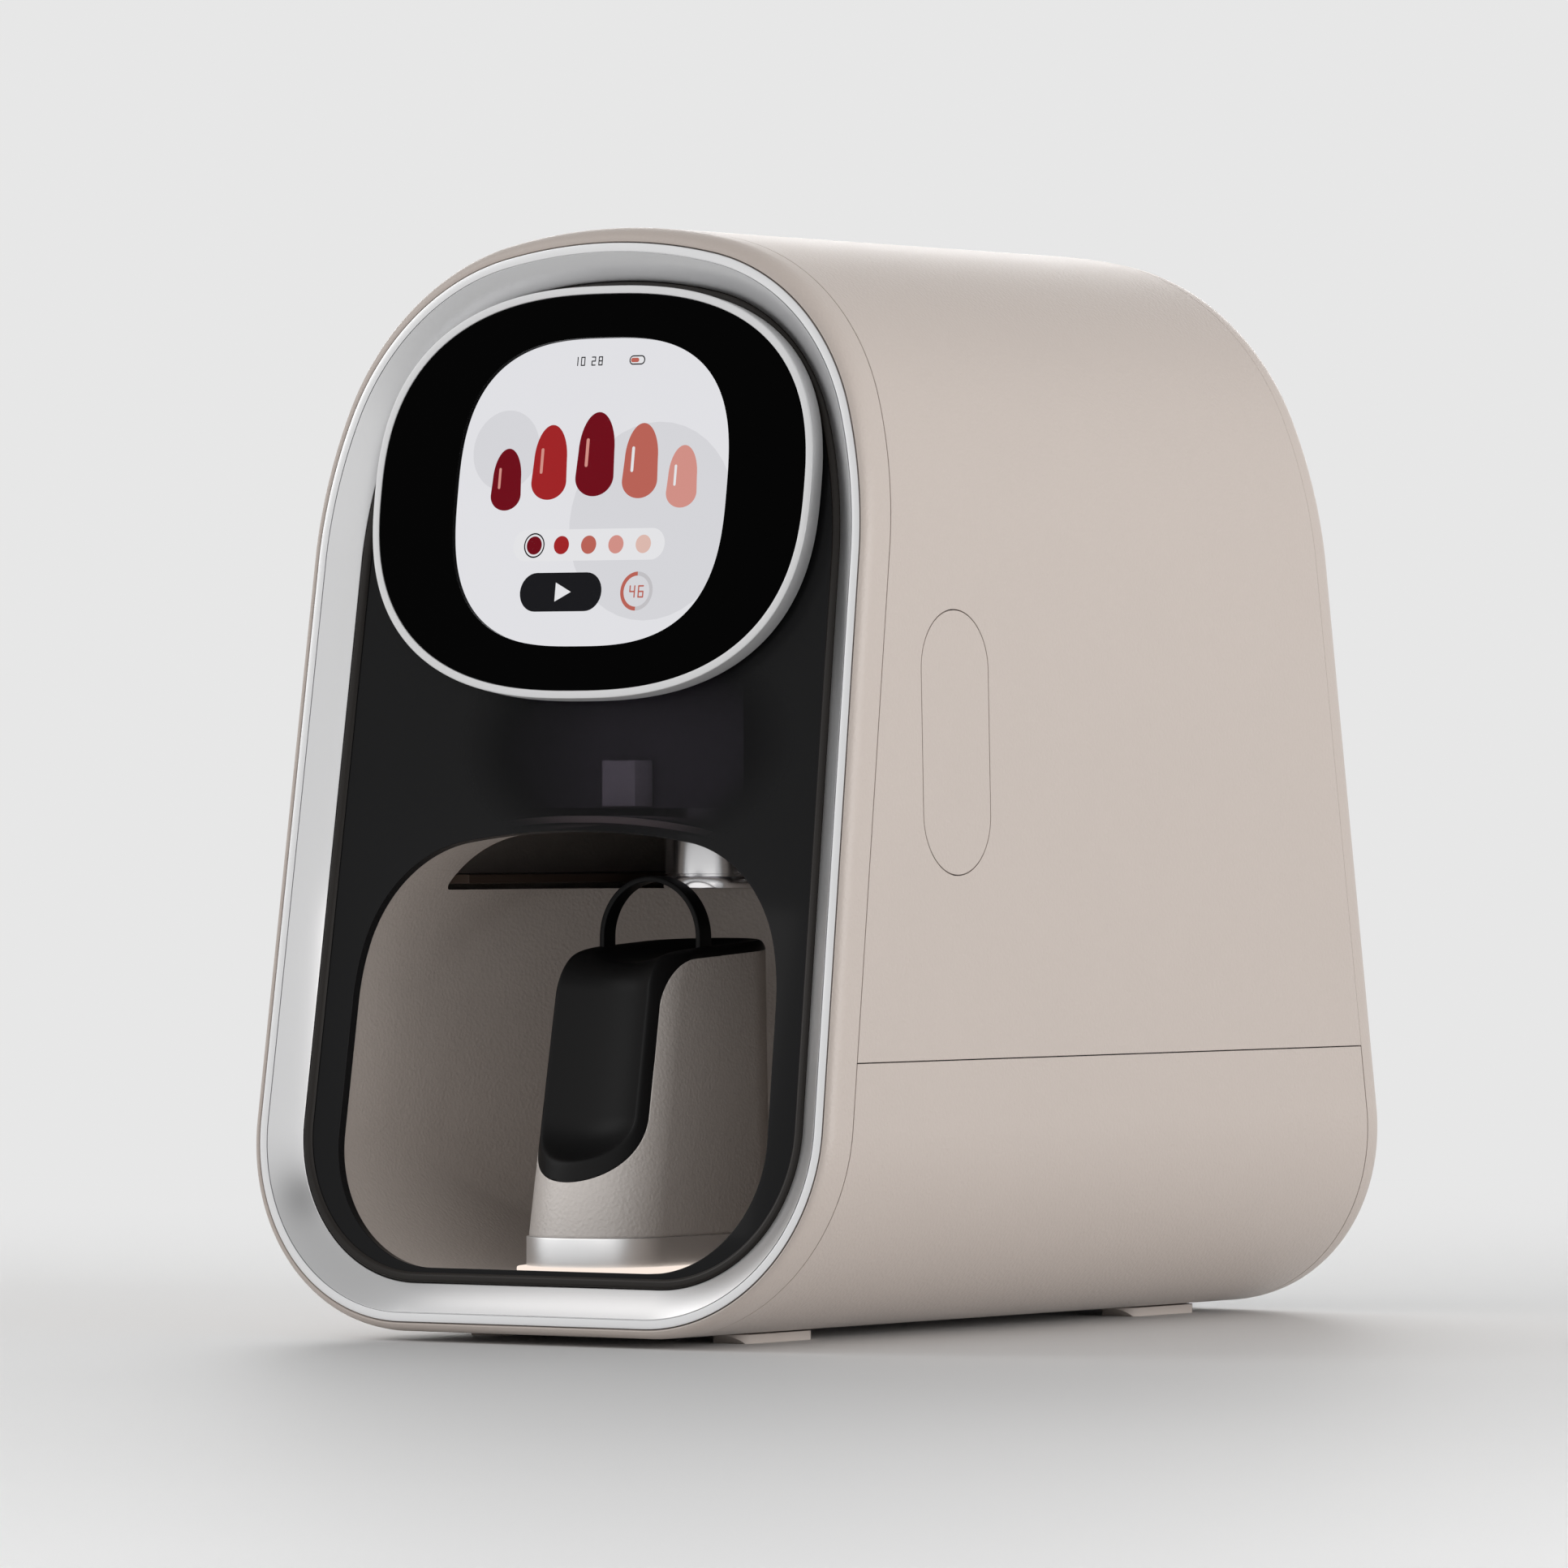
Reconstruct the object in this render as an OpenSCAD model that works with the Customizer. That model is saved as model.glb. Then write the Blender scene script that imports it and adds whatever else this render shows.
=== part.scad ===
// Digital nail art printer for the desktop, in millimetres.
// The face looks along -Y, +Z is up, and the origin is the middle of the footprint on the table.
// The face and the back lean inwards, and the leather-grained arch shell runs straight between them.
// A finger enters the arched opening and rests under the print barrel, which travels over the nail.

/* [Overall] */
// width over the shell at its widest
body_w = 190; // [176:1:232]
// height from the table to the crown
body_h = 300; // [250:1:360]
// depth along the table
body_d = 293.2; // [280:0.1:352]
// lean of the face and of the back from upright
lean = 8.17; // [7.5:0.01:8.8]
// gap under the shell, which the feet span
foot_h = 2.7; // [2.4:0.1:4]

/* [Shell] */
// thickness of the shell walls
wall = 2.6; // [2.1:0.1:3.2]
// width of the leather-grained rim round the face
rim_w = 2.75; // [2.4:0.05:3.4]
// radius of the lower corners of the face
corner_r = 52.2; // [44:0.1:60]
// height of the seam between the upper shell and the lower cover
seam_z = 76; // [70:1:92]
// distance of the front seam behind the face
seam_front = 10.8; // [10.8:0.1:12]
// width of the seam lines
seam_gap = 0.3; // [0.2:0.05:0.4]

/* [Face] */
// width of the outer flat of the bezel
flat_w = 2.45; // [2:0.05:3]
// total width of the bezel
bezel_w = 10.2; // [9.6:0.1:11]
// depth of the inner edge of the bezel
bezel_drop = 6.1; // [5.6:0.1:6.3]
// distance of the front panel behind the face
panel_in = 6.69; // [6.5:0.01:6.9]
// thickness of the front panel
panel_t = 3.1; // [2.5:0.1:3.1]
// space beside the hand opening, from the side of the shell
jamb = 24.5; // [24:0.5:34]
// height of the crown of the hand opening, as a share of the body height
open_share = 0.4573; // [0.43:0.001:0.47]
// height of the sill of the hand opening
sill_z = 19.6; // [19.2:0.1:22]

/* [Display] */
// half width of the cover glass
glass_a = 69.8; // [60:0.1:73]
// half height of the cover glass along the face
glass_b = 54.1; // [45:0.1:56]
// width of the silver ring round the glass
ring_w = 2.2; // [1.8:0.1:3]
// depth of the display housing
ring_d = 5.3; // [5:0.1:5.6]
// half width of the screen
screen_a = 44.9; // [36:0.1:52]
// half height of the screen along the face
screen_b = 42.1; // [34:0.1:46]

/* [Finger rest] */
// half width of the column at the top
rest_r = 18.6; // [17:0.1:21]
// radius of the rolled front edge of the cradle
roll_r = 15.5; // [12:0.5:17]
// rounding of the top edge of the cradle
lip_r = 2.2; // [1.4:0.1:2.6]
// half width of the finger groove down the front
groove_r = 15.2; // [13:0.1:15.6]
// half width of the trough that the finger lies in
trough_r = 14.5; // [12.6:0.1:15]
// radius of the scoop that forms both
scoop_r = 30; // [27:0.5:36]
// thickness of the strap
strap_t = 1.6; // [1.2:0.1:2]
// width of the strap
strap_w = 5.7; // [5:0.1:7]

/* [Print unit] */
// radius of the print barrel
barrel_r = 13; // [10:0.5:14]
// diameter of the rods for the travel along the finger
rod_d = 8; // [6:1:9]
// diameter of the rods for the travel across the finger
xrod_d = 6; // [5:1:8]
// travel forwards from the rest position
y_fore = 8; // [4:1:8]
// travel backwards from the rest position
y_back = 30; // [10:1:32]
// half width of the print carriage
carriage_w = 24; // [20:1:26]

/* [Side button] */
// width of the capsule
btn_w = 32.6; // [26:0.1:36]
// height of the capsule
btn_h = 71.3; // [60:0.1:76]
// travel of the button
btn_travel = 1.2; // [0.8:0.1:1.4]

/* [Hidden] */
$fn = 64;
tl = tan(lean);
cl = cos(lean);
fwd = 146.6 - body_d / 2;          // shift of everything that is placed from the face
bez_w = body_w / 2 - rim_w;        // half width of the bezel
bez_top = body_h - 4.3;            // crown of the bezel
bez_low = foot_h + 2.6;            // underside of the bezel
crown = 4.3 - rim_w;               // extra rise of the shell at the crown
open_top = open_share * body_h;
open_w = body_w / 2 - jamb;
disp_s = (open_top + bez_top - 10.8) / 2 / cl + 17.5;
liner_t = 2.5;
liner_top = open_top - 16.4;
floor_z = sill_z - 1.5;            // inside floor of the chamber
rest_top = liner_top - 14.8;
ring_top = floor_z + 9.9;
deck_z = liner_top + 1.7;
rod_x = body_w / 2 - 26;
rod_z = liner_top + 29.2;
lead_z = rod_z + 14;
xrod_z = rod_z + 10;
belt_z = rod_z + 24;
pul_x = rod_x - 4;
pul_y = -21;
pul_r = 7;
belt_t = 1.2;
head_z = liner_top + 22.4;
bar_y = -53;
btn_y = -75.25;
btn_z = liner_top + 40;
back_in = 3.7;                     // inner face of the back cover, from the back plane
fan_s = (deck_z + 70) / cl;
fit = 0.08;                        // running fit, on the radius

leather = [0.78, 0.73, 0.69];
silver = [0.82, 0.82, 0.84];
black = [0.07, 0.07, 0.07];
steel = [0.6, 0.6, 0.62];

// ---- outlines ----
function u(a) = [sin(a), cos(a)];
function arc(c, r, a, b, n, last = 0) = [for (i = [0:n - 1 + last]) c + r * u(a + (b - a) * i / n)];
// Arch with a crown of three radii, side walls that lean in by tp degrees, and rounded lower corners
function arch(w, zt, zb, f1, r2, f2, r3, tp, rc) =
  let (fe = 90 - tp, zc = zb + rc, c0 = rc + (w - rc) * sin(fe) + zc * cos(fe),
    r1 = (c0 - r3 - zt * cos(fe) + r2 * cos(fe - f1) - (r2 - r3) * cos(fe - f2))
      / (cos(fe - f1) - cos(fe)),
    c1 = [0, zt - r1], c2 = c1 + (r1 - r2) * u(f1), c3 = c2 + (r2 - r3) * u(f2),
    h = concat(arc(c1, r1, 0, f1, 3), arc(c2, r2, f1, f2, 12), arc(c3, r3, f2, fe, 4),
      arc([w - rc, zc], rc, fe, 180, 18, 1)))
  concat(h, [for (i = [len(h) - 1:-1:1]) [-h[i][0], h[i][1]]]);
// outline of the face, d inside the edge of the bezel
function face(d, up = 0) = arch(bez_w - d, bez_top - d + up, bez_low + d, 12.4, 65.25 - d, 70.6,
  129.5 - d, 1.19, corner_r - d);
// outline of the hand opening, d inside its edge
function opening(d) = arch(open_w - d, open_top - d, sill_z + d, 9.24, 38.3 - d, 75, 64.4 - d,
  1.25, 34.9 - d);
function bend(v, n) = sign(v) * pow(abs(v), 2 / n);
function round_box(a, b, n) = [for (i = [0:95]) [a * bend(cos(i * 3.75), n), b * bend(sin(i * 3.75), n)]];
// stadium from y0 to y1 (centres of the ends) with radius r
function stadium(y0, y1, r) = [for (i = [0:24]) [r * cos(180 + i * 7.5), y0 + r * sin(180 + i * 7.5)],
  for (i = [0:24]) [r * cos(i * 7.5), y1 + r * sin(i * 7.5)]];
function slot(w, h) = let (r = w / 2) [for (i = [0:24]) [r * cos(i * 7.5), h / 2 - r + r * sin(i * 7.5)],
  for (i = [0:24]) [-r * cos(i * 7.5), -h / 2 + r - r * sin(i * 7.5)]];
function rrect(x0, y0, x1, y1, r) = [for (k = [0:3], i = [0:6])
  [(k == 0 || k == 3 ? x1 - r : x0 + r) + r * cos(k * 90 + i * 15),
   (k < 2 ? y1 - r : y0 + r) + r * sin(k * 90 + i * 15)]];

// ---- frames of reference ----
function fy(z) = -body_d / 2 + z * tl;      // the face
module forward() translate([0, fwd, 0]) children();
// x across, y up the face, z out of it
module on_face(d = 0) translate([0, d - body_d / 2, 0]) rotate([90 - lean, 0, 0]) children();
module on_back(d = 0) rotate([0, 0, 180]) on_face(d) children();
// drawing in (x, z), carried from y0 to y1
module along_y(y0, y1) translate([0, y1, 0]) rotate([90, 0, 0]) linear_extrude(y1 - y0) children();
// drawing in (y, z), carried from x0 to x1
module along_x(x0, x1) translate([x0, 0, 0]) rotate([90, 0, 90]) linear_extrude(x1 - x0) children();
module through() along_y(-body_d, body_d) children();
// space from d0 to d1 behind the face
module layer(d0, d1) along_x(-body_w, body_w) polygon([[fy(-9) + d0, -9], [fy(-9) + d1, -9],
  [fy(body_h + 9) + d1, body_h + 9], [fy(body_h + 9) + d0, body_h + 9]]);
module rear_layer(d0, d1) rotate([0, 0, 180]) layer(d0, d1);
module box(a, b) translate(a) cube(b - a);
module rod_y(x, z, r, y0, y1) translate([x, y0, z]) rotate([-90, 0, 0]) cylinder(r = r, h = y1 - y0);
module rod_x(y, z, r, x0, x1) translate([x0, y, z]) rotate([0, 90, 0]) cylinder(r = r, h = x1 - x0);
// closed section carried round the outline: [inset, share of the crown, depth, from the back]
module carried(section) {
  ring = [for (p = section) [for (q = face(p[0], p[1] * crown))
    [q[0], p[3] == 0 ? fy(q[1]) + p[2] : -fy(q[1]) - p[2], q[1]]]];
  n = len(ring[0]);
  m = len(section);
  polyhedron([for (r = ring) each r], [for (i = [0:m - 1], j = [0:n - 1])
    let (a = i * n + j, b = i * n + (j + 1) % n, c = (i + 1) % m * n + (j + 1) % n,
      d = (i + 1) % m * n + j) each [[a, b, c], [a, c, d]]]);
}

// ---- shell ----
o = -rim_w;                        // outer surface of the shell, from the bezel edge
i0 = wall - rim_w;                 // inner surface of the shell
rear_in = 7.5;                     // depth of the rear rim, from the back plane
// part of the shell between the rims, from z0 up to z1
module shell_part(z0, z1, rear) intersection() {
  through() difference() {
    polygon(face(o, crown));
    polygon(face(i0));
  }
  along_x(-body_w, body_w) polygon([[fy(z0) + seam_front + seam_gap / 2, z0], [-fy(z0) - rear, z0],
    [-fy(z1) - rear, z1], [fy(z1) + seam_front + seam_gap / 2, z1]]);
}

module upper_shell() color(leather) {
  difference() {
    shell_part(seam_z + seam_gap / 2, body_h + 9, rear_in + 0.02);
    // capsule of the side button
    forward() translate([0, btn_y, btn_z]) along_x(bez_w - 22, body_w) polygon(slot(btn_w, btn_h));
  }
  // ledges for the deck
  intersection() {
    forward() for (s = [-1, 1]) box([s * (bez_w - 2.5) - 5.5, -96, deck_z - 4.2],
      [s * (bez_w - 2.5) + 5.5, 78, deck_z - 0.2]);
    through() polygon(face(i0 - 0.8));
  }
}

module lower_cover() color(leather) {
  shell_part(-9, seam_z - seam_gap / 2, rear_in + seam_gap);
  // ribs that carry the chamber liner
  forward() for (y = [-104, -44]) box([-32, y, foot_h + 1.5], [32, y + 3, floor_z - liner_t - 0.3]);
}

module rear_rim() color(leather) carried([[o, 1, rear_in, 1], [o, 1, 5.5, 1], [o + 0.3, 0.95, 2.6, 1],
  [o + 1, 0.7, 0.8, 1], [o + 1.8, 0.4, 0.1, 1], [i0, 0.1, 0, 1], [i0, 0, 4, 1], [5, 0, 4, 1],
  [5, 0, 6.5, 1], [i0, 0, 6.5, 1], [i0, 0, rear_in, 1]]);

module front_rim() color(leather) carried([[-0.2, 0, 0.5, 0], [-0.45, 0.05, 0.1, 0], [-0.9, 0.3, 0.1, 0],
  [-1.5, 0.5, 0.55, 0], [-2.05, 0.72, 1.5, 0], [-2.5, 0.9, 3, 0], [o, 1, 5.5, 0],
  [o, 1, seam_front - seam_gap / 2, 0], [5.4, 0, seam_front - seam_gap / 2, 0], [5.4, 0, 8.9, 0],
  [-0.2, 0, 8.9, 0]]);

function screw_spots() = let (f = face(2.4)) [for (k = [7, 19, 38, len(f) - 38, len(f) - 19, len(f) - 7]) f[k]];

module back_cover() color(black) {
  difference() {
    intersection() {
      through() polygon(face(i0 + 0.3));
      rear_layer(1.2, back_in);
    }
    on_back() {
      for (k = [-4:4]) translate([-24, fan_s + k * 6 - 1.4, -9]) cube([48, 2.8, 12]);
      for (k = [0:5]) translate([-20, 48 + k * 6, -9]) cube([56, 2.4, 12]);
    }
    on_back(back_in) translate([-58, 34, -9]) cylinder(r = 5.2, h = 18);
    for (p = screw_spots()) translate([p[0], body_d / 2 - 9 - p[1] * tl, p[1]])
      rotate([-90, 0, 0]) cylinder(r = 1.3, h = 12);
  }
  on_back(back_in - 0.4) for (x = [-30, 50], s = [40, 96]) translate([x, s, -8.6]) cylinder(r = 3, h = 8.6);
  on_back(back_in - 0.4) for (x = [-70, -46], s = [58, 96]) translate([x, s, -8.6]) cylinder(r = 3, h = 8.6);
}

module cover_screws() color(steel) for (p = screw_spots()) translate([p[0], body_d / 2 - p[1] * tl, p[1]])
  rotate([90, 0, 0]) difference() {
    union() {
      translate([0, 0, 0.02]) cylinder(r = 2.3, h = 0.8);
      translate([0, 0, 0.5]) cylinder(r = 1.25, h = 5.7);
    }
    translate([0, 0, -1]) cylinder(r = 1.1, h = 1.7, $fn = 6);
  }

module foot(x, y) color(leather) intersection() {
  translate([x, 0, 0]) linear_extrude(foot_h - 0.25) polygon(stadium(y - 12.5, y + 12.5, 6));
  along_x(-body_w, body_w) polygon([[y - 15.5, 0], [y + 15.5, 0], [y + 19, foot_h], [y - 19, foot_h]]);
}
foot_x = bez_w - corner_r;
module foot_fl() foot(-foot_x, -90 + fwd);
module foot_fr() foot(foot_x, -90 + fwd);
module foot_rl() foot(-foot_x, body_d / 2 - 45);
module foot_rr() foot(foot_x, body_d / 2 - 45);

// ---- face ----
module bezel() color(silver) carried([[0, 0, 0.3, 0], [0.3, 0, 0, 0], [flat_w - 0.15, 0, 0, 0],
  [flat_w, 0, 0.35, 0], [flat_w + 0.15, 0, 0.35, 0], [flat_w + 0.3, 0, 0.05, 0],
  [bezel_w, 0, bezel_drop, 0], [bezel_w, 0, bezel_drop + 1, 0], [bezel_w - 1.4, 0, bezel_drop + 1, 0],
  [flat_w, 0, 2.2, 0], [1.5, 0, 2.2, 0], [1.5, 0, 8.6, 0], [0, 0, 8.6, 0]]);

module gasket() color([0.14, 0.1, 0.08]) carried([[bezel_w + 0.1, 0, 6.2, 0], [bezel_w + 0.5, 0, 5.85, 0],
  [bezel_w + 1.4, 0, 5.7, 0], [bezel_w + 2.3, 0, 5.95, 0], [bezel_w + 2.8, 0, panel_in - 0.1, 0],
  [bezel_w + 1, 0, panel_in - 0.1, 0], [bezel_w + 1, 0, 9.7, 0], [bezel_w + 0.1, 0, 9.7, 0]]);

module hand_hole(d) on_face(panel_in) translate([0, 0, -12]) linear_extrude(30)
  polygon([for (p = opening(d)) [p[0], p[1] / cl]]);

panel_out = panel_in + panel_t / cl;   // back of the panel, along Y
frame_in = panel_out + 1.2;
frame_out = frame_in + 2.25;
module front_panel() color([0.1, 0.1, 0.1]) difference() {
  intersection() {
    through() polygon(face(bezel_w + 1.2));
    layer(panel_in, panel_out);
  }
  hand_hole(0);
  on_face() translate([0, disp_s, -20]) linear_extrude(20) polygon(round_box(glass_a - 9.5, glass_b - 9.7, 2.52));
}

module front_frame() color(black) {
  difference() {
    union() {
      intersection() {
        through() polygon(face(i0 + 0.3));
        layer(frame_in, frame_out);
      }
      intersection() {
        through() difference() {
          polygon(face(5.8));
          polygon(face(bezel_w + 3));
          polygon(opening(-6.3));
        }
        layer(panel_out + 0.1, frame_in + 0.2);
      }
    }
    on_face(frame_in) translate([0, 0, -16]) linear_extrude(24) polygon([for (p = opening(-liner_t - 1.9)) [p[0], p[1] / cl]]);
    on_face() translate([0, disp_s, -40]) linear_extrude(40) polygon(rrect(-22, -14, 22, 14, 3));
  }
  on_face(frame_out - 0.3) for (x = [-40, 40], s = [-24, 24]) translate([x, disp_s + s, -2.8]) cylinder(r = 3, h = 2.8);
}

module display_housing() color(silver) on_face() translate([0, disp_s, -ring_d]) difference() {
  linear_extrude(ring_d) polygon(round_box(glass_a + ring_w, glass_b + ring_w, 2.52));
  translate([0, 0, 1.3]) linear_extrude(ring_d) polygon(round_box(glass_a, glass_b, 2.52));
  translate([0, 0, -1]) linear_extrude(9) polygon(rrect(-16, -9, 16, 9, 2));
}
module display_glass() color([0.02, 0.02, 0.02]) on_face() translate([0, disp_s, -1.6])
  linear_extrude(1.6) polygon(round_box(glass_a - 0.15, glass_b - 0.15, 2.52));
module display_screen() color([0.9, 0.9, 0.92]) on_face() translate([0, disp_s, -3.8])
  linear_extrude(2.15) polygon(round_box(screen_a, screen_b, 2.84));
module display_neck() color(black) on_face() translate([0, disp_s, -frame_in * cl + 0.1]) difference() {
  linear_extrude(frame_in * cl - 0.1 - ring_d - 0.1) polygon(round_box(glass_a - 9.9, glass_b - 10.1, 2.52));
  translate([0, 0, -1]) linear_extrude(9) polygon(round_box(glass_a - 13, glass_b - 13, 2.52));
}
module display_board() color([0.05, 0.25, 0.15]) on_face(frame_out) translate([0, disp_s, -4.2]) {
  translate([-48, -30, 0]) cube([96, 60, 1.6]);
  for (p = [[-30, -8], [6, -14], [24, 10]]) translate([p[0], p[1], -1.8]) cube([14, 14, 1.9]);
}

// ---- hand chamber ----
chamber_d = 101;                   // depth of the rounded end
bend_y = -97;                      // where the rounded end begins
mouth_y = -95;                     // rear edge of the band over the mouth
function plan(g) = [[-open_w - 1.5 - g, -200], [open_w + 1.5 + g, -200], for (i = [0:30])
  [(open_w + 1.5 + g) * cos(i * 6), bend_y + (chamber_d + g) * sin(i * 6)]];
module chamber_liner() color([0.5, 0.46, 0.42]) difference() {
  union() {
    intersection() {
      through() polygon(opening(-1.5 - liner_t));
      forward() linear_extrude(body_h) polygon(plan(liner_t));
      layer(panel_out + 0.1, body_d);
    }
    intersection() {
      through() polygon(opening(-6));
      layer(panel_out + 0.1, frame_in - 0.1);
    }
  }
  intersection() {
    through() polygon(opening(-1.5));
    forward() linear_extrude(body_h) polygon(plan(0));
  }
  // open above, behind the band at the mouth
  forward() along_x(-body_w, body_w) polygon([[mouth_y, body_h], for (i = [0:6])
    [mouth_y + 2.4 * (1 - cos(i * 15)), liner_top + 2.4 * (1 - sin(i * 15))], [60, liner_top], [60, body_h]]);
}

// ---- finger rest ----
rise = rest_top - 24;              // height of the column over its foot
slope_f = 14.6 / rise;             // front line of the column, from upright
slope_t = 0.0576;                  // rise of the top towards the back
rear_y = -63.3;
function rest_rz(z) = rest_r + (rest_top - z) * 1.4 / rise;
function rest_y(z) = -95.06 - (rest_top - z) * 13.2 / rise;
fa = atan(slope_f);
ta = atan(slope_t);
n1 = [-sin(ta), cos(ta)];          // square to the top line
n2 = [-cos(fa), sin(fa)];          // square to the front line
tip1 = [-83, rest_top + 0.1] * n1;
tip2 = [rest_y(rest_top) - rest_r, rest_top] * n2;
det = n1[0] * n2[1] - n1[1] * n2[0];
// point of the side view, d1 over the top line and d2 before the front line
function spot(d1, d2) = let (k1 = tip1 + d1, k2 = tip2 + d2)
  [(k1 * n2[1] - n1[1] * k2) / det, (n1[0] * k2 - k1 * n2[0]) / det];
roll_c = spot(-roll_r, -roll_r);
function top_z(y, g) = (tip1 - g - y * n1[0]) / n1[1];
function front_y(z, g) = (tip2 - g - z * n2[1]) / n2[0];
// level slice of the column, its front end at y, tilted by t and i inside its outline
module slice(y, z, r, t, i) translate([0, y, z]) rotate([t, 0, 0]) linear_extrude(0.01)
  polygon(stadium(r - i, rear_y - y, r - i));
// column with a lean front, a rolled front edge and a rounded lip, g inside its surface
module rest_shape(g) hull() {
  slice(rest_y(ring_top - 1) - rest_rz(ring_top - 1) + g, ring_top - 1, rest_rz(ring_top - 1) - g, 0, 0);
  for (i = [0:9]) let (a = 180 - fa + (ta + fa - 90) * i / 9, r = roll_r - g, lip = max(lip_r - g, 0.1),
      p = roll_c + r * [cos(a), sin(a)], low = min(r * (1 - sin(a - ta)), lip))
    slice(p[0], p[1], rest_rz(p[1]) - g, ta * i / 9, lip - sqrt(lip * lip - pow(lip - low, 2)));
}
// path of the scoop: down the front, round the rolled edge and along the top
top_off = sqrt(scoop_r * scoop_r - trough_r * trough_r);
front_off = sqrt(scoop_r * scoop_r - groove_r * groove_r) - 19 + sqrt(361 - groove_r * groove_r);
bend_r = scoop_r + 10;
bend_c = spot(top_off - bend_r, front_off - bend_r);
low_z = rest_top - 57.3;           // lowest point of the groove
low_c = [front_y(low_z, 0), low_z] + front_off * n2
  + sqrt(scoop_r * scoop_r - front_off * front_off) * [sin(fa), cos(fa)];
// bore of radius r along the path: it passes p at a degrees from upright, and runs from l0 before to l1 after it
module bore(p, a, l0, l1, r) translate([0, p[0], p[1]]) rotate([-a, 0, 0]) translate([0, 0, -l0])
  cylinder(r = r, h = l0 + l1);
module scoop(g) {
  for (i = [0:4]) let (a = fa + (90 - ta - fa) * i / 4, p = bend_c + bend_r * [-cos(a), sin(a)])
    bore(p, a, i == 0 ? norm(p - low_c) : 20, i == 4 ? (rear_y - p[0]) / cos(ta) : 20, scoop_r + g);
  // round ends
  for (p = [low_c, [rear_y, top_z(rear_y, 0) + top_off / cos(ta)]]) translate([0, p[0], p[1]])
    sphere(scoop_r + g + 0.2);
}
// space taken by the cradle, grown by g: the top, and the tongue down the front
module cradle_zone(g) {
  bx = 11.3 + g;                   // tongue width in the side view
  r = 12;
  c = [front_y(top_z(-80, 3) - r, 0) + bx + r, top_z(-80, 3) - r - 1];
  intersection() {
    along_x(-40, 40) polygon([[-160, 0], [front_y(0, 0) + bx, 0], for (i = [0:8])
      c + (r - g) * [-cos(fa - 4 + 86 * i / 8), sin(fa - 4 + 86 * i / 8)],
      [-30, top_z(-30, 3 + g)], [-30, 200], [-160, 200]]);
    along_y(-160, -30) polygon([for (i = [0:20]) (17.5 + g) * [cos(180 + i * 9), sin(180 + i * 9)] + [0, rest_top - 45.6],
      [17.5 + g, rest_top - 31], [30, rest_top - 30.9], [30, 200], [-30, 200], [-30, rest_top - 30.9],
      [-17.5 - g, rest_top - 31]]);
  }
}
module finger_cradle() color(black) forward() difference() {
  intersection() {
    rest_shape(0);
    union() {
      cradle_zone(0);
      scoop(3.4);
    }
  }
  scoop(0);
  for (s = [-1, 1]) box([s * 15.2 - 1.1, -86.1, rest_top - 3], [s * 15.2 + 1.1, -79.9, rest_top + 9]);
}
module rest_body() color([0.6, 0.57, 0.54]) forward() difference() {
  intersection() {
    rest_shape(0);
    box([-40, -160, ring_top + 0.1], [40, 0, 200]);
  }
  cradle_zone(0.1);
  scoop(3.5);
}
module rest_ring() color(silver) forward() translate([0, 0, floor_z + 1.9]) difference() {
  linear_extrude(ring_top - floor_z - 1.9) polygon(stadium(rest_y(24), rear_y, rest_rz(24) + 0.2));
  translate([0, 0, -1]) linear_extrude(60) polygon(stadium(rest_y(24), rear_y, rest_rz(24) - 3));
}
module light_ring() color([1, 0.93, 0.85]) forward() translate([0, 0, floor_z + 0.4])
  linear_extrude(1.4) polygon(stadium(rest_y(24), rear_y, rest_rz(24) + 2.8));
strap_r = 16;
module finger_strap() color(black) forward() along_y(-80.15 - strap_w, -80.15) {
  c = liner_top + 3.2 - strap_r;
  polygon([for (i = [0:24]) strap_r * [cos(i * 7.5), sin(i * 7.5)] + [0, c], [-strap_r, rest_top - 2.7],
    [strap_t - strap_r, rest_top - 2.7], for (i = [24:-1:0]) (strap_r - strap_t) * [cos(i * 7.5), sin(i * 7.5)] + [0, c],
    [strap_r - strap_t, rest_top - 2.7], [strap_r, rest_top - 2.7]]);
}

// ---- side button ----
module shell_skin(d0, d1) through() difference() {
  polygon(face(d0, d0 == o ? crown : 0));
  polygon(face(d1));
}
stem_y = -80;
// inner surface of the side wall at the height of the button
side_x = bez_w - i0 - (btn_z - bez_low - corner_r) * tan(1.19);
module side_button() color(leather) {
  intersection() {
    shell_skin(o, i0 + 0.6);
    forward() translate([0, btn_y, btn_z]) along_x(0, body_w) polygon(slot(btn_w - 0.6, btn_h - 0.6));
  }
  intersection() {
    shell_skin(i0 + 0.3, i0 + 1.7);
    forward() translate([0, btn_y, btn_z]) along_x(0, body_w) polygon(slot(btn_w + 3, btn_h + 3));
  }
  forward() rod_x(stem_y, btn_z, 3, side_x - 6, side_x - 1);
}
gx = side_x - 5.6;                 // outer face of the guide plate
module button_guide() color(black) forward() difference() {
  union() {
    box([gx - 2, -100, btn_z - 9], [gx, -72, btn_z + 15]);
    box([gx - 10.4, -88, btn_z + 11], [gx - 1, -72, btn_z + 15]);
    box([gx - 10.4, -88, btn_z - 9], [gx - 9, -72, btn_z + 15]);
    box([gx - 2, -100, btn_z - 9], [side_x - 0.6, -95, btn_z + 15]);
  }
  rod_x(stem_y, btn_z, 3 + fit, gx - 4, gx + 4);
}
module button_switch() color(black) forward() {
  box([gx - 8.9, stem_y - 6, btn_z - 6], [gx - 3.4, stem_y + 6, btn_z + 6]);
  rod_x(stem_y, btn_z, 1.8, gx - 3.5, side_x - 6.4 - btn_travel);
}

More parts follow.
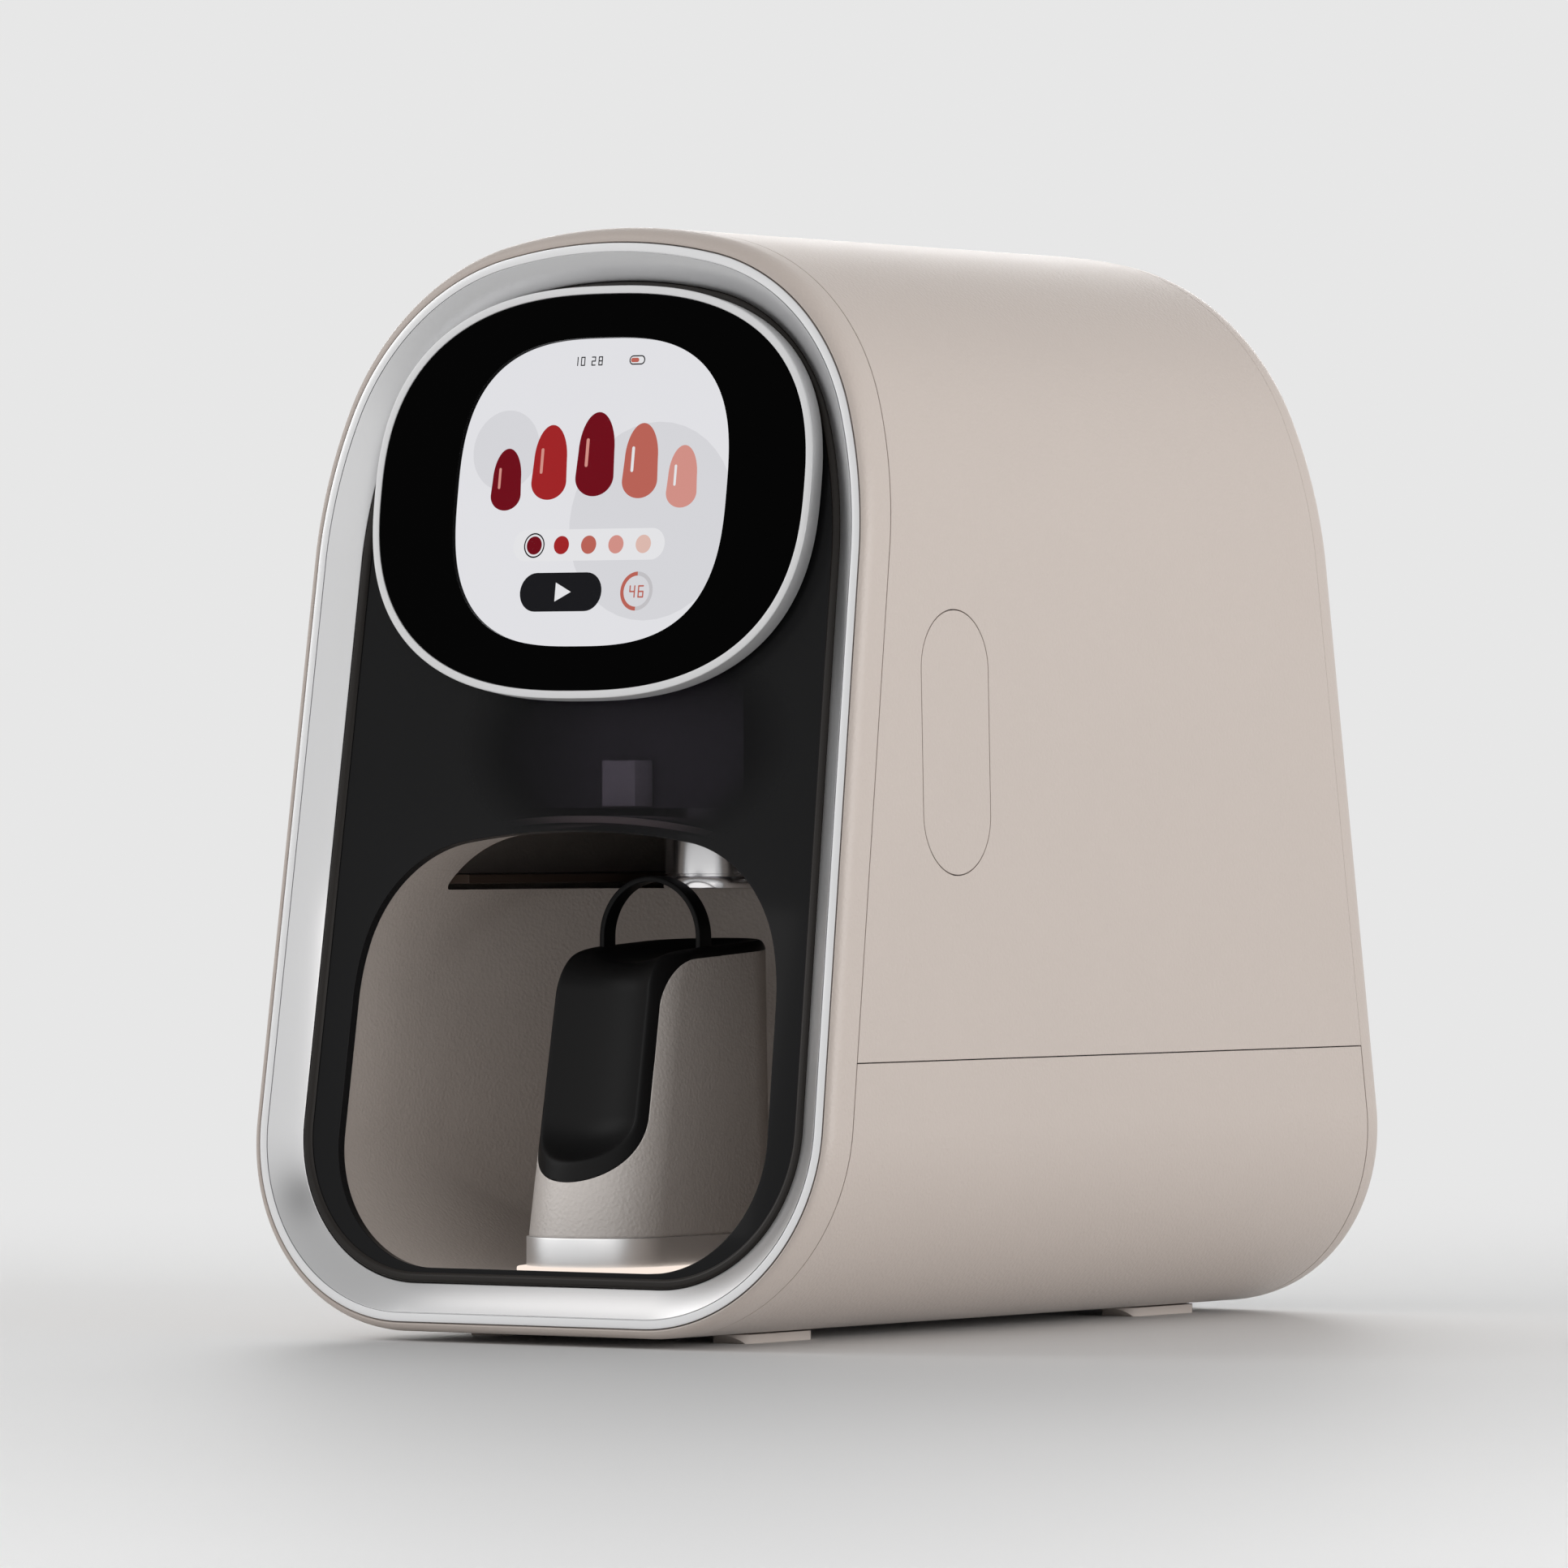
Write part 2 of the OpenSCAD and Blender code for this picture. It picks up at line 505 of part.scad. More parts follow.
// ---- motion system ----
sup_f = -82 - y_fore;              // rear face of the front supports
sup_r = 10 + y_back;               // front face of the rear supports
module chassis() color(steel) forward() difference() {
  union() {
    difference() {
      box([5.4 - bez_w, -98, deck_z], [bez_w - 5.4, 80, deck_z + 2.5]);
      box([-rod_x + 15, -99, deck_z - 1], [rod_x - 15, 16, deck_z + 4]);
    }
    for (s = [-1, 1]) {
      box([s * rod_x - 6, sup_f - 6, deck_z + 1], [s * rod_x + 6, sup_f, rod_z + 8]);
      box([s * rod_x - 6, sup_r, deck_z + 1], [s * rod_x + 6, sup_r + 6, rod_z + 8]);
    }
    for (y = [sup_f - 6, sup_r]) box([rod_x - 10, y, rod_z], [rod_x + 10, y + 6, lead_z + 12]);
  }
  // room for the liner's band over the mouth
  intersection() {
    through() polygon(opening(-1.8 - liner_t));
    box([-bez_w, -130, deck_z - 1], [bez_w, mouth_y + 0.3, body_h]);
  }
  for (s = [-1, 1]) rod_y(s * rod_x, rod_z, rod_d / 2 + 0.03, sup_f - 9, sup_r + 10);
  rod_y(rod_x, lead_z, 4 + fit, sup_f - 9, sup_r + 10);
}
module y_rod_l() color(steel) forward() rod_y(-rod_x, rod_z, rod_d / 2, sup_f - 5.5, sup_r + 5.5);
module y_rod_r() color(steel) forward() rod_y(rod_x, rod_z, rod_d / 2, sup_f - 5.5, sup_r + 5.5);
screw_l = sup_r - sup_f + 15;
module y_screw() color(steel) forward() translate([rod_x, sup_f - 5, lead_z]) rotate([-90, 0, 0])
  rotate_extrude() polygon([[0, 0], [4, 0], [4, 7.6], for (k = [0:floor((screw_l - 13) / 4) - 1]) each
    [[4, 8 + k * 4], [3.5, 9 + k * 4], [3.5, 10 + k * 4], [4, 11 + k * 4]], [4, screw_l], [0, screw_l]]);
module y_motor() color(black) forward() difference() {
  box([rod_x - 12.5, sup_r + 6.3, lead_z - 12.5], [rod_x + 12.5, sup_r + 36, lead_z + 12.5]);
  rod_y(rod_x, lead_z, 4 + fit, sup_r + 6, sup_r + 11);
}
module y_gantry() color(steel) forward() difference() {
  union() {
    for (s = [-1, 1]) box([s * rod_x - 9, -62, rod_z - 9], [s * rod_x + 9, 2, rod_z + 22]);
    box([-rod_x, -4, rod_z], [rod_x, 2, rod_z + 20]);
    // bracket of the motor
    box([-rod_x - 9, -7, rod_z + 21], [-pul_x + 12, 2, rod_z + 37]);
    box([-rod_x - 9, -35, rod_z + 34], [-pul_x + 12, 2, rod_z + 37]);
    translate([pul_x, pul_y, rod_z + 21]) cylinder(r = 2.5, h = 13);
  }
  for (s = [-1, 1]) rod_y(s * rod_x, rod_z, rod_d / 2 + fit, -63, 3);
  rod_y(rod_x, lead_z, 5, -63, 3);
  rod_y(rod_x, lead_z, 7.05, -63, -48);
  for (y = [-28, -14]) rod_x(y, xrod_z, xrod_d / 2 + 0.03, -rod_x + 5, rod_x - 5);
  translate([-pul_x, pul_y, rod_z + 30]) cylinder(r = 3.5, h = 12);
}
module y_nut() color([0.78, 0.65, 0.3]) forward() difference() {
  rod_y(rod_x, lead_z, 7, -62, -48.1);
  rod_y(rod_x, lead_z, 4 + fit, -63, -47);
}
module x_rod(y) color(steel) forward() rod_x(y, xrod_z, xrod_d / 2, -rod_x + 5.2, rod_x - 5.2);
module x_rod_f() x_rod(-28);
module x_rod_r() x_rod(-14);
module x_carriage() color(black) forward() difference() {
  union() {
    box([-carriage_w, -35, rod_z + 2], [carriage_w, -7, rod_z + 18]);
    box([-7, -33, rod_z + 17], [7, -25, belt_z + 6]);
  }
  for (y = [-28, -14]) rod_x(y, xrod_z, xrod_d / 2 + fit, -30, 30);
  box([-9, pul_y - pul_r - belt_t - 0.3, belt_z - 0.3], [9, pul_y - pul_r + 0.3, belt_z + 20]);
}
function loop(r) = [for (i = [0:24]) [pul_x, pul_y] + r * [cos(i * 7.5 - 90), sin(i * 7.5 - 90)],
  for (i = [0:24]) [-pul_x, pul_y] + r * [cos(i * 7.5 + 90), sin(i * 7.5 + 90)]];
module x_belt() color(black) forward() translate([0, 0, belt_z]) linear_extrude(5) difference() {
  polygon(loop(pul_r + belt_t));
  polygon(loop(pul_r + 0.08));
}
module wheel(x) forward() translate([x, pul_y, belt_z]) {
  cylinder(r = pul_r - 0.02, h = 5);
  for (z = [-1, 5.2]) translate([0, 0, z]) cylinder(r = pul_r + 1.6, h = 0.8);
  translate([0, 0, -0.5]) cylinder(r = 5, h = 6);
}
module x_pulley() color(steel) {
  wheel(-pul_x);
  forward() translate([-pul_x, pul_y, belt_z]) cylinder(r = 2.5, h = 17);
}
module x_idler() color(steel) difference() {
  wheel(pul_x);
  forward() translate([pul_x, pul_y, belt_z - 9]) cylinder(r = 2.5 + fit, h = 30);
}
module x_motor() color(black) forward() difference() {
  box([-pul_x - 12, pul_y - 12, rod_z + 37.2], [-pul_x + 12, pul_y + 12, rod_z + 59]);
  translate([-pul_x, pul_y, rod_z + 36]) cylinder(r = 2.5 + fit, h = 6);
}

// ---- print unit ----
module print_head() color([0.2, 0.2, 0.21]) forward() difference() {
  along_y(-90, -35.3) polygon(rrect(-46, head_z, 34, head_z + 45, 6));
  box([-20.3, -84.3, head_z + 11], [20.3, -45.7, head_z + 60]);
  translate([0, bar_y, head_z - 1]) cylinder(r = barrel_r + 0.05, h = 8);
  translate([0, bar_y, head_z - 1]) cylinder(r = 5, h = 20);
}
module ink_cartridge() color([0.15, 0.15, 0.16]) forward() {
  box([-20, -84, head_z + 11.3], [20, -46, head_z + 50]);
  box([-14, -78, head_z + 49], [14, -66, head_z + 53]);
}
module sensor_block() color([0.45, 0.45, 0.47]) forward() translate([0, 0, head_z + 0.4]) linear_extrude(12.6)
  polygon([[-10.5, -90.3], [4.3, -90.3], [4.3, -92.5], [2.3, -96], [-8.5, -96], [-10.5, -92.5]]);
module print_barrel() color([0.85, 0.85, 0.87]) forward() translate([0, bar_y, liner_top + 0.5]) rotate_extrude()
  polygon([[4, 0], [barrel_r + 1.6, 0], [barrel_r + 2, 0.4], [barrel_r + 2, 3.3], [barrel_r - 0.5, 3.3],
    [barrel_r - 0.5, 3.9], [barrel_r, 3.9], [barrel_r, head_z - liner_top + 6], [4, head_z - liner_top + 6]]);

// ---- cooling and electronics ----
module fan_frame() color(black) on_back() translate([0, fan_s, -19.2]) difference() {
  linear_extrude(15) polygon(rrect(-30, -30, 30, 30, 4));
  translate([0, 0, 2.5]) cylinder(r = 28, h = 20);
  difference() {
    translate([0, 0, -1]) cylinder(r = 27, h = 9);
    cylinder(r = 11.5, h = 9);
    for (a = [0:90:270]) rotate([0, 0, a + 45]) translate([0, -2, 0]) cube([30, 4, 2.5]);
  }
  translate([0, 0, -1]) cylinder(r = 2.2, h = 9);
  for (x = [-25, 25], y = [-25, 25]) translate([x, y, -1]) cylinder(r = 2.1, h = 20);
}
module fan_rotor() color([0.12, 0.12, 0.12]) on_back() translate([0, fan_s, -19.2]) {
  translate([0, 0, 3]) cylinder(r = 12, h = 10.5);
  translate([0, 0, 0.5]) cylinder(r = 2.2 - fit, h = 3);
  intersection() {
    for (k = [0:6]) rotate([0, 0, k * 360 / 7]) translate([11, 0, 8]) rotate([38, 0, 0]) translate([0, -7.5, -0.7]) cube([17, 15, 1.4]);
    translate([0, 0, 3]) cylinder(r = 27, h = 10.5);
  }
}
module main_board() color([0.05, 0.25, 0.15]) on_back(back_in) {
  translate([-36, 34, -10]) cube([92, 68, 1.4]);
  for (p = [[-20, 50], [4, 60], [30, 44], [28, 78]]) translate([p[0], p[1], -12]) cube([16, 14, 2.1]);
}
module power_board() color([0.05, 0.25, 0.15]) on_back(back_in) {
  translate([-76, 52, -10]) cube([34, 50, 1.4]);
  translate([-70, 60, -24]) cube([20, 18, 14.1]);
  for (y = [84, 95]) translate([-62, y, -28]) cylinder(r = 4.5, h = 18.1);
}
module power_inlet() color(black) on_back(back_in) translate([-58, 34, 0]) difference() {
  union() {
    translate([-7, -7, -14.1]) cube([14, 14, 13.8]);
    translate([0, 0, -1]) cylinder(r = 4.9, h = 3);
  }
  translate([0, 0, -10]) cylinder(r = 3.2, h = 14);
}

upper_shell();
lower_cover();
front_rim();
rear_rim();
back_cover();
bezel();
gasket();
front_panel();
front_frame();
display_housing();
display_glass();
display_screen();
display_neck();
display_board();
chamber_liner();
light_ring();
rest_ring();
rest_body();
finger_cradle();
finger_strap();
side_button();
button_guide();
button_switch();
chassis();
y_rod_l();
y_rod_r();
y_gantry();
y_nut();
y_screw();
y_motor();
x_rod_f();
x_rod_r();
x_carriage();
x_belt();
x_pulley();
x_idler();
x_motor();
print_head();
sensor_block();
print_barrel();
ink_cartridge();
fan_frame();
fan_rotor();
main_board();
power_board();
power_inlet();
cover_screws();
foot_fl();
foot_fr();
foot_rl();
foot_rr();
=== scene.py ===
"""Visual model of the nail art printer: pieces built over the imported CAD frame, in metres.

Outlines and sections are written in millimetres in the frame's own axes (the face looks along -Y, the
photographed side is +X, +Z is up) and scaled on the way into each mesh.
"""
import math
import bpy
import bmesh
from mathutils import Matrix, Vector


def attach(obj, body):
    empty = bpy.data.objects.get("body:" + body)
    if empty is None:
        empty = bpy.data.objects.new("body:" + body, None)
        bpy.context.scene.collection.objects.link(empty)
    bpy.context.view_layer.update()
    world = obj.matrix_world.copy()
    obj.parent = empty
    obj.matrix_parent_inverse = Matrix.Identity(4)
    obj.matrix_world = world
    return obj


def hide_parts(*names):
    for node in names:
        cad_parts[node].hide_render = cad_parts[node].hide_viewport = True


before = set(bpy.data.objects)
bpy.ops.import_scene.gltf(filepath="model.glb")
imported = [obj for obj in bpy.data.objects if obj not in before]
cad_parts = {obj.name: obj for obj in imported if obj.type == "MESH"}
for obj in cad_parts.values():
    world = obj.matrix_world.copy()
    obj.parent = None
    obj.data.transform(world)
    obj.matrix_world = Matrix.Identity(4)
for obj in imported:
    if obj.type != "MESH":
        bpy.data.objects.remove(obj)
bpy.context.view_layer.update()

MM = 0.001
LEAN = math.radians(8.17)
TL, CL, SL = math.tan(LEAN), math.cos(LEAN), math.sin(LEAN)
HALF = 146.6                       # half the depth at the table
RIM, WALL, CROWN = 2.75, 2.6, 1.55
OUT, IN = -RIM, WALL - RIM         # shell surfaces, measured in from the bezel edge
SEAM_F, SEAM_Z, SEAM_GAP, REAR = 10.8, 76.0, 0.3, 7.5
BEZ_W, BEZ_TOP, BEZ_LOW = 92.25, 295.7, 5.3
PANEL, PANEL_T = 6.69, 3.1         # panel face behind the front plane, and its thickness
PANEL_BACK = PANEL + PANEL_T / CL
OPEN_TOP, OPEN_W, SILL = 137.19, 70.5, 19.6
LINER_TOP, LINER_T = OPEN_TOP - 16.4, 2.5
BEND_Y, END_D, MOUTH_Y = -97.0, 101.0, -95.0
DISP = ((OPEN_TOP + BEZ_TOP - 10.8) / 2) / CL + 17.5  # middle of the display, measured up the face
GLASS_A, GLASS_B, SCREEN_A, SCREEN_B = 69.8, 54.1, 44.9, 42.1
DISP_N, SCREEN_N = 2.52, 2.84      # how square the two outlines are
RING_W, RING_DEEP, GLASS_T, NECK_IN = 2.2, 5.3, 1.5, 9.9
BTN_Y, BTN_Z, BTN_W, BTN_H = -75.25, LINER_TOP + 40, 32.6, 71.3


# ---------- outlines ----------
def arch(w, zt, zb, f1, r2, f2, r3, tp, rc, k=4):
    """Arch outline as points (x, z): the chain of arcs of the CAD, divided finer."""
    d = math.radians
    fe = 90 - tp
    zc = zb + rc
    cf, sf = math.cos(d(fe)), math.sin(d(fe))
    c0 = rc + (w - rc) * sf + zc * cf
    r1 = (c0 - r3 - zt * cf + r2 * math.cos(d(fe - f1)) - (r2 - r3) * math.cos(d(fe - f2))) / (
        math.cos(d(fe - f1)) - cf)
    u = lambda a: (math.sin(d(a)), math.cos(d(a)))
    c1 = (0, zt - r1)
    c2 = (c1[0] + (r1 - r2) * u(f1)[0], c1[1] + (r1 - r2) * u(f1)[1])
    c3 = (c2[0] + (r2 - r3) * u(f2)[0], c2[1] + (r2 - r3) * u(f2)[1])

    def arc(c, r, a, b, n, last=0):
        return [(c[0] + r * u(a + (b - a) * i / n)[0], c[1] + r * u(a + (b - a) * i / n)[1])
                for i in range(n + last)]

    h = (arc(c1, r1, 0, f1, 3 * k) + arc(c2, r2, f1, f2, 12 * k) + arc(c3, r3, f2, fe, 4 * k)
         + arc((w - rc, zc), rc, fe, 180, 18 * k, 1))
    return h + [(-x, z) for x, z in reversed(h[1:])]


def face(d, up=0.0, k=4):
    """Front outline, d inside the bezel edge. up is the share of the crown."""
    return arch(BEZ_W - d, BEZ_TOP - d + up * CROWN, BEZ_LOW + d, 12.4, 65.25 - d, 70.6,
                129.5 - d, 1.19, 52.2 - d, k)


def opening(d, k=4):
    """Outline of the hand opening, shrunk by d."""
    return arch(OPEN_W - d, OPEN_TOP - d, SILL + d, 9.24, 38.3 - d, 75, 64.4 - d, 1.25, 34.9 - d, k)


def superellipse(a, b, n, m=192):
    out = []
    for i in range(m):
        c, s = math.cos(2 * math.pi * i / m), math.sin(2 * math.pi * i / m)
        out.append((a * math.copysign(abs(c) ** (2 / n), c), b * math.copysign(abs(s) ** (2 / n), s)))
    return out


def capsule(w, h, m=40):
    """Upright capsule round the middle of the side button, as (y, z)."""
    r = w / 2
    return ([(BTN_Y + r * math.cos(math.pi * i / m), BTN_Z + h / 2 - r + r * math.sin(math.pi * i / m))
             for i in range(m + 1)]
            + [(BTN_Y - r * math.cos(math.pi * i / m), BTN_Z - h / 2 + r - r * math.sin(math.pi * i / m))
               for i in range(m + 1)])


def fy(z):
    """Depth of the leaning front plane at height z."""
    return -HALF + z * TL


def at_face(x, s, n, d=0.0):
    """Point x across, s up the face and n out of it, d behind the face."""
    return (x, d - HALF + s * SL - n * CL, s * CL + n * SL)


def side_x(z, d):
    """Surface of the straight side wall, d inside the bezel edge."""
    p = [q for q in face(d, 1 if d == OUT else 0) if q[0] > 60]
    for a, b in zip(p, p[1:]):
        if (a[1] - z) * (b[1] - z) <= 0 and a[1] != b[1]:
            return a[0] + (b[0] - a[0]) * (z - a[1]) / (b[1] - a[1])


# ---------- mesh building ----------
def sharpen(me, angle):
    """Welds, turns the faces outwards and marks edges over the angle as sharp."""
    bm = bmesh.new()
    bm.from_mesh(me)
    bmesh.ops.remove_doubles(bm, verts=bm.verts, dist=1e-7)
    bmesh.ops.recalc_face_normals(bm, faces=bm.faces)
    lim = math.radians(angle)
    for f in bm.faces:
        f.smooth = True
    for e in bm.edges:
        e.smooth = len(e.link_faces) == 2 and e.calc_face_angle(0) < lim
    bm.to_mesh(me)
    bm.free()


def mesh_of(name, verts, faces, angle=30):
    me = bpy.data.meshes.new(name)
    me.from_pydata([Vector(v) * MM for v in verts], [], faces)
    sharpen(me, angle)
    return me


def bevelled(ob, width, seg, angle):
    b = ob.modifiers.new("edge", "BEVEL")
    b.width = width * MM
    b.segments = seg
    b.limit_method = "ANGLE"
    b.angle_limit = math.radians(angle)
    b.harden_normals = True


def show(name, me, body, mats, nodes=(), bevel=0.0, seg=2, angle=30):
    """Links a mesh as a visible piece that rides on a body and stands for the named nodes."""
    ob = bpy.data.objects.new(name, me)
    bpy.context.scene.collection.objects.link(ob)
    for m in mats if isinstance(mats, (list, tuple)) else [mats]:
        me.materials.append(m)
    if bevel:
        bevelled(ob, bevel, seg, angle)
    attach(ob, body)
    if nodes:
        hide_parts(*nodes)
    return ob


def piece(name, geo, body, mats, nodes=(), bevel=0.0, seg=2, angle=30):
    return show(name, mesh_of(name, *geo, angle), body, mats, nodes, bevel, seg, angle)


def combined(name, base, tools, angle=30):
    """Mesh of base after the boolean tools [(operation, geometry)]."""
    temp = []

    def keep(geo):
        ob = bpy.data.objects.new("tool", geo if isinstance(geo, bpy.types.Mesh) else mesh_of("tool", *geo))
        bpy.context.scene.collection.objects.link(ob)
        temp.append(ob)
        return ob

    ob = keep(base)
    for op, geo in tools:
        m = ob.modifiers.new(op, "BOOLEAN")
        m.object = keep(geo)
        m.operation = op
        m.solver = "EXACT"
    bpy.context.view_layer.update()
    me = bpy.data.meshes.new_from_object(ob.evaluated_get(bpy.context.evaluated_depsgraph_get()))
    me.name = name
    for t in temp:
        bpy.data.objects.remove(t)
    sharpen(me, angle)
    return me


def rings(loops, close=True, cap=False):
    """Skins closed loops of equal length. close joins the last loop to the first."""
    n, m = len(loops[0]), len(loops)
    faces = []
    for i in range(m if close else m - 1):
        a, b = i * n, (i + 1) % m * n
        faces += [(a + j, a + (j + 1) % n, b + (j + 1) % n, b + j) for j in range(n)]
    if cap:
        faces += [tuple(range(n)), tuple(range((m - 1) * n, m * n))]
    return [p for lp in loops for p in lp], faces


def carried(section, k=4):
    """Closed section [inset, crown share, depth, from the back] carried round the outline."""
    return rings([[(x, fy(z) + d if not back else -fy(z) - d, z) for x, z in face(i, up, k)]
                  for i, up, d, back in section])


def bend(a, b, c, t):
    """Point at share t of the curve that leaves a, is drawn towards b and ends at c."""
    return [(1 - t) ** 2 * p + 2 * t * (1 - t) * q + t * t * r for p, q, r in zip(a, b, c)]


def rounded(p, r, n=3):
    """Section points with each corner rounded by up to r, or by its own fifth value."""
    out = []
    for i, b in enumerate(p):
        a, c = p[i - 1], p[(i + 1) % len(p)]
        la, lc = math.hypot(a[0] - b[0], a[2] - b[2]), math.hypot(c[0] - b[0], c[2] - b[2])
        q = min(b[4] if len(b) > 4 else r, la * 0.45, lc * 0.45)
        pa = [b[j] + (a[j] - b[j]) * q / la for j in range(3)]
        pc = [b[j] + (c[j] - b[j]) * q / lc for j in range(3)]
        out += [bend(pa, b[:3], pc, t / n) + [b[3]] for t in range(n + 1)]
    return out


def prism(outline, f0, f1):
    """Outline points carried between two placing functions."""
    return rings([[f0(*p) for p in outline], [f1(*p) for p in outline]], close=False, cap=True)


# ---------- materials ----------
def material(name):
    m = bpy.data.materials.new(name)
    m.use_nodes = True
    nt = m.node_tree
    for x in list(nt.nodes):
        nt.nodes.remove(x)
    return m, nt, nt.nodes.new("ShaderNodeOutputMaterial")


def node(nt, kind, props=None, **sockets):
    x = nt.nodes.new(kind)
    for k, v in (props or {}).items():
        setattr(x, k, v)
    for k, v in sockets.items():
        x.inputs[k.replace("_", " ")].default_value = v
    return x


def mottled(nt, col, spread, scale):
    """Colour that drifts a little over the piece, and the drift itself."""
    co = node(nt, "ShaderNodeTexCoord")
    big = node(nt, "ShaderNodeTexNoise", Scale=scale, Detail=3.0)
    nt.links.new(co.outputs["Object"], big.inputs["Vector"])
    mix = node(nt, "ShaderNodeMix", {"data_type": "RGBA"})
    mix.inputs[6].default_value = (*[c * (1 - spread) for c in col], 1)
    mix.inputs[7].default_value = (*[min(1, c * (1 + spread)) for c in col], 1)
    nt.links.new(big.outputs["Fac"], mix.inputs[0])
    return co, big, mix.outputs[2]


def surface(name, col, rough, metal=0.0, grain=None, spread=0.03, scale=30.0, spec=0.5, sheen=0.0):
    """Principled surface. grain is (size, depth, kind) of its relief, in metres."""
    m, nt, out = material(name)
    p = node(nt, "ShaderNodeBsdfPrincipled", Metallic=metal, Specular_IOR_Level=spec, Sheen_Weight=sheen,
             Sheen_Roughness=0.4)
    co, big, tint = mottled(nt, col, spread, scale)
    nt.links.new(tint, p.inputs["Base Color"])
    rr = node(nt, "ShaderNodeMapRange", To_Min=max(0.0, rough - 0.03), To_Max=rough + 0.03)
    nt.links.new(big.outputs["Fac"], rr.inputs["Value"])
    nt.links.new(rr.outputs["Result"], p.inputs["Roughness"])
    if grain:
        size, depth, kind = grain
        bump = node(nt, "ShaderNodeBump", Strength=1.0, Distance=depth)
        fine = node(nt, "ShaderNodeTexNoise", Scale=1 / size, Detail=3.0)
        nt.links.new(co.outputs["Object"], fine.inputs["Vector"])
        height = fine.outputs["Fac"]
        if kind == "leather":
            cells = node(nt, "ShaderNodeTexVoronoi", {"feature": "SMOOTH_F1"}, Scale=1 / size, Smoothness=0.7)
            warp = node(nt, "ShaderNodeMix", {"data_type": "VECTOR"})
            warp.inputs[0].default_value = 0.0006
            nt.links.new(co.outputs["Object"], warp.inputs[4])
            nt.links.new(fine.outputs["Color"], warp.inputs[5])
            nt.links.new(warp.outputs[1], cells.inputs["Vector"])
            both = node(nt, "ShaderNodeMath", {"operation": "MULTIPLY_ADD"})
            both.inputs[1].default_value = 0.8
            nt.links.new(height, both.inputs[0])
            nt.links.new(cells.outputs["Distance"], both.inputs[2])
            height = both.outputs[0]
        nt.links.new(height, bump.inputs["Height"])
        nt.links.new(bump.outputs["Normal"], p.inputs["Normal"])
    nt.links.new(p.outputs[0], out.inputs[0])
    return m


def see_through(name, body, share, tint, window=None):
    """Surface body, of which a share lets tinted light pass, if wanted only in a soft round window."""
    m, nt, out = material(name)
    p = node(nt, "ShaderNodeBsdfPrincipled", Roughness=body[1], Specular_IOR_Level=body[2])
    co, big, colour = mottled(nt, body[0], 0.1, 25.0)
    nt.links.new(colour, p.inputs["Base Color"])
    tr = node(nt, "ShaderNodeBsdfTransparent", Color=(*tint, 1))
    ms = node(nt, "ShaderNodeMixShader")
    ms.inputs[0].default_value = share
    if window:
        (x, z), (a, b) = window
        off = node(nt, "ShaderNodeVectorMath", {"operation": "SUBTRACT"})
        off.inputs[1].default_value = (x * MM, 0, z * MM)
        part = node(nt, "ShaderNodeVectorMath", {"operation": "MULTIPLY"})
        part.inputs[1].default_value = (1 / (a * MM), 0, 1 / (b * MM))
        away = node(nt, "ShaderNodeVectorMath", {"operation": "LENGTH"})
        fade = node(nt, "ShaderNodeMapRange", {"interpolation_type": "SMOOTHSTEP"},
                    From_Min=0.6, From_Max=1.0, To_Min=share, To_Max=0.0)
        nt.links.new(co.outputs["Object"], off.inputs[0])
        nt.links.new(off.outputs[0], part.inputs[0])
        nt.links.new(part.outputs[0], away.inputs[0])
        nt.links.new(away.outputs["Value"], fade.inputs["Value"])
        nt.links.new(fade.outputs["Result"], ms.inputs[0])
    nt.links.new(p.outputs[0], ms.inputs[1])
    nt.links.new(tr.outputs[0], ms.inputs[2])
    nt.links.new(ms.outputs[0], out.inputs[0])
    return m


def glow(name, col, strength=1.0, spread=0.01):
    m, nt, out = material(name)
    e = node(nt, "ShaderNodeEmission", Strength=strength)
    co, big, colour = mottled(nt, col, spread, 30.0)
    nt.links.new(colour, e.inputs["Color"])
    nt.links.new(e.outputs[0], out.inputs[0])
    return m


HIDE, DEEP_HIDE = (0.0009, 0.00007, "leather"), (0.0010, 0.00013, "leather")
SATIN = (0.00008, 0.0000006, "fine")
leather = surface("leather", (0.585, 0.510, 0.462), 0.42, grain=HIDE, spread=0.015, sheen=0.12)
liner_m = surface("liner", (0.40, 0.357, 0.327), 0.5, grain=DEEP_HIDE, spread=0.02)
rest_m = surface("rest", (0.41, 0.382, 0.362), 0.38, grain=DEEP_HIDE, spread=0.02, spec=0.65)
silver = surface("silver", (0.80, 0.80, 0.805), 0.30, metal=1.0, grain=SATIN, spread=0.006)
band_m = surface("ring_silver", (0.93, 0.93, 0.935), 0.38, metal=1.0, grain=SATIN,
                 spread=0.006)
display_m = surface("display_silver", (0.76, 0.76, 0.765), 0.46, metal=0.5, grain=SATIN,
                    spread=0.006)
gasket_m = surface("gasket", (0.012, 0.009, 0.007), 0.45, grain=(0.0006, 0.000008, "fine"), spec=0.3)
black = surface("black", (0.010, 0.010, 0.011), 0.4, grain=(0.0004, 0.000006, "fine"), spec=0.3)
rubber = surface("rubber", (0.004, 0.004, 0.0042), 0.42, grain=(0.0003, 0.000004, "fine"), spec=0.09)
polished = surface("polished", (0.60, 0.60, 0.61), 0.20, metal=1.0, spread=0.01)
steel = surface("steel", (0.5, 0.5, 0.51), 0.3, metal=1.0, grain=(0.0004, 0.000004, "fine"))
deck_m = surface("deck", (0.030, 0.018, 0.012), 0.6, grain=(0.0006, 0.00001, "fine"), spec=0.3)
gantry_m = surface("gantry", (0.030, 0.018, 0.012), 0.6, spec=0.3, grain=(0.0005, 0.00001, "fine"))
brass_m = surface("brass", (0.75, 0.55, 0.25), 0.3, metal=1.0)
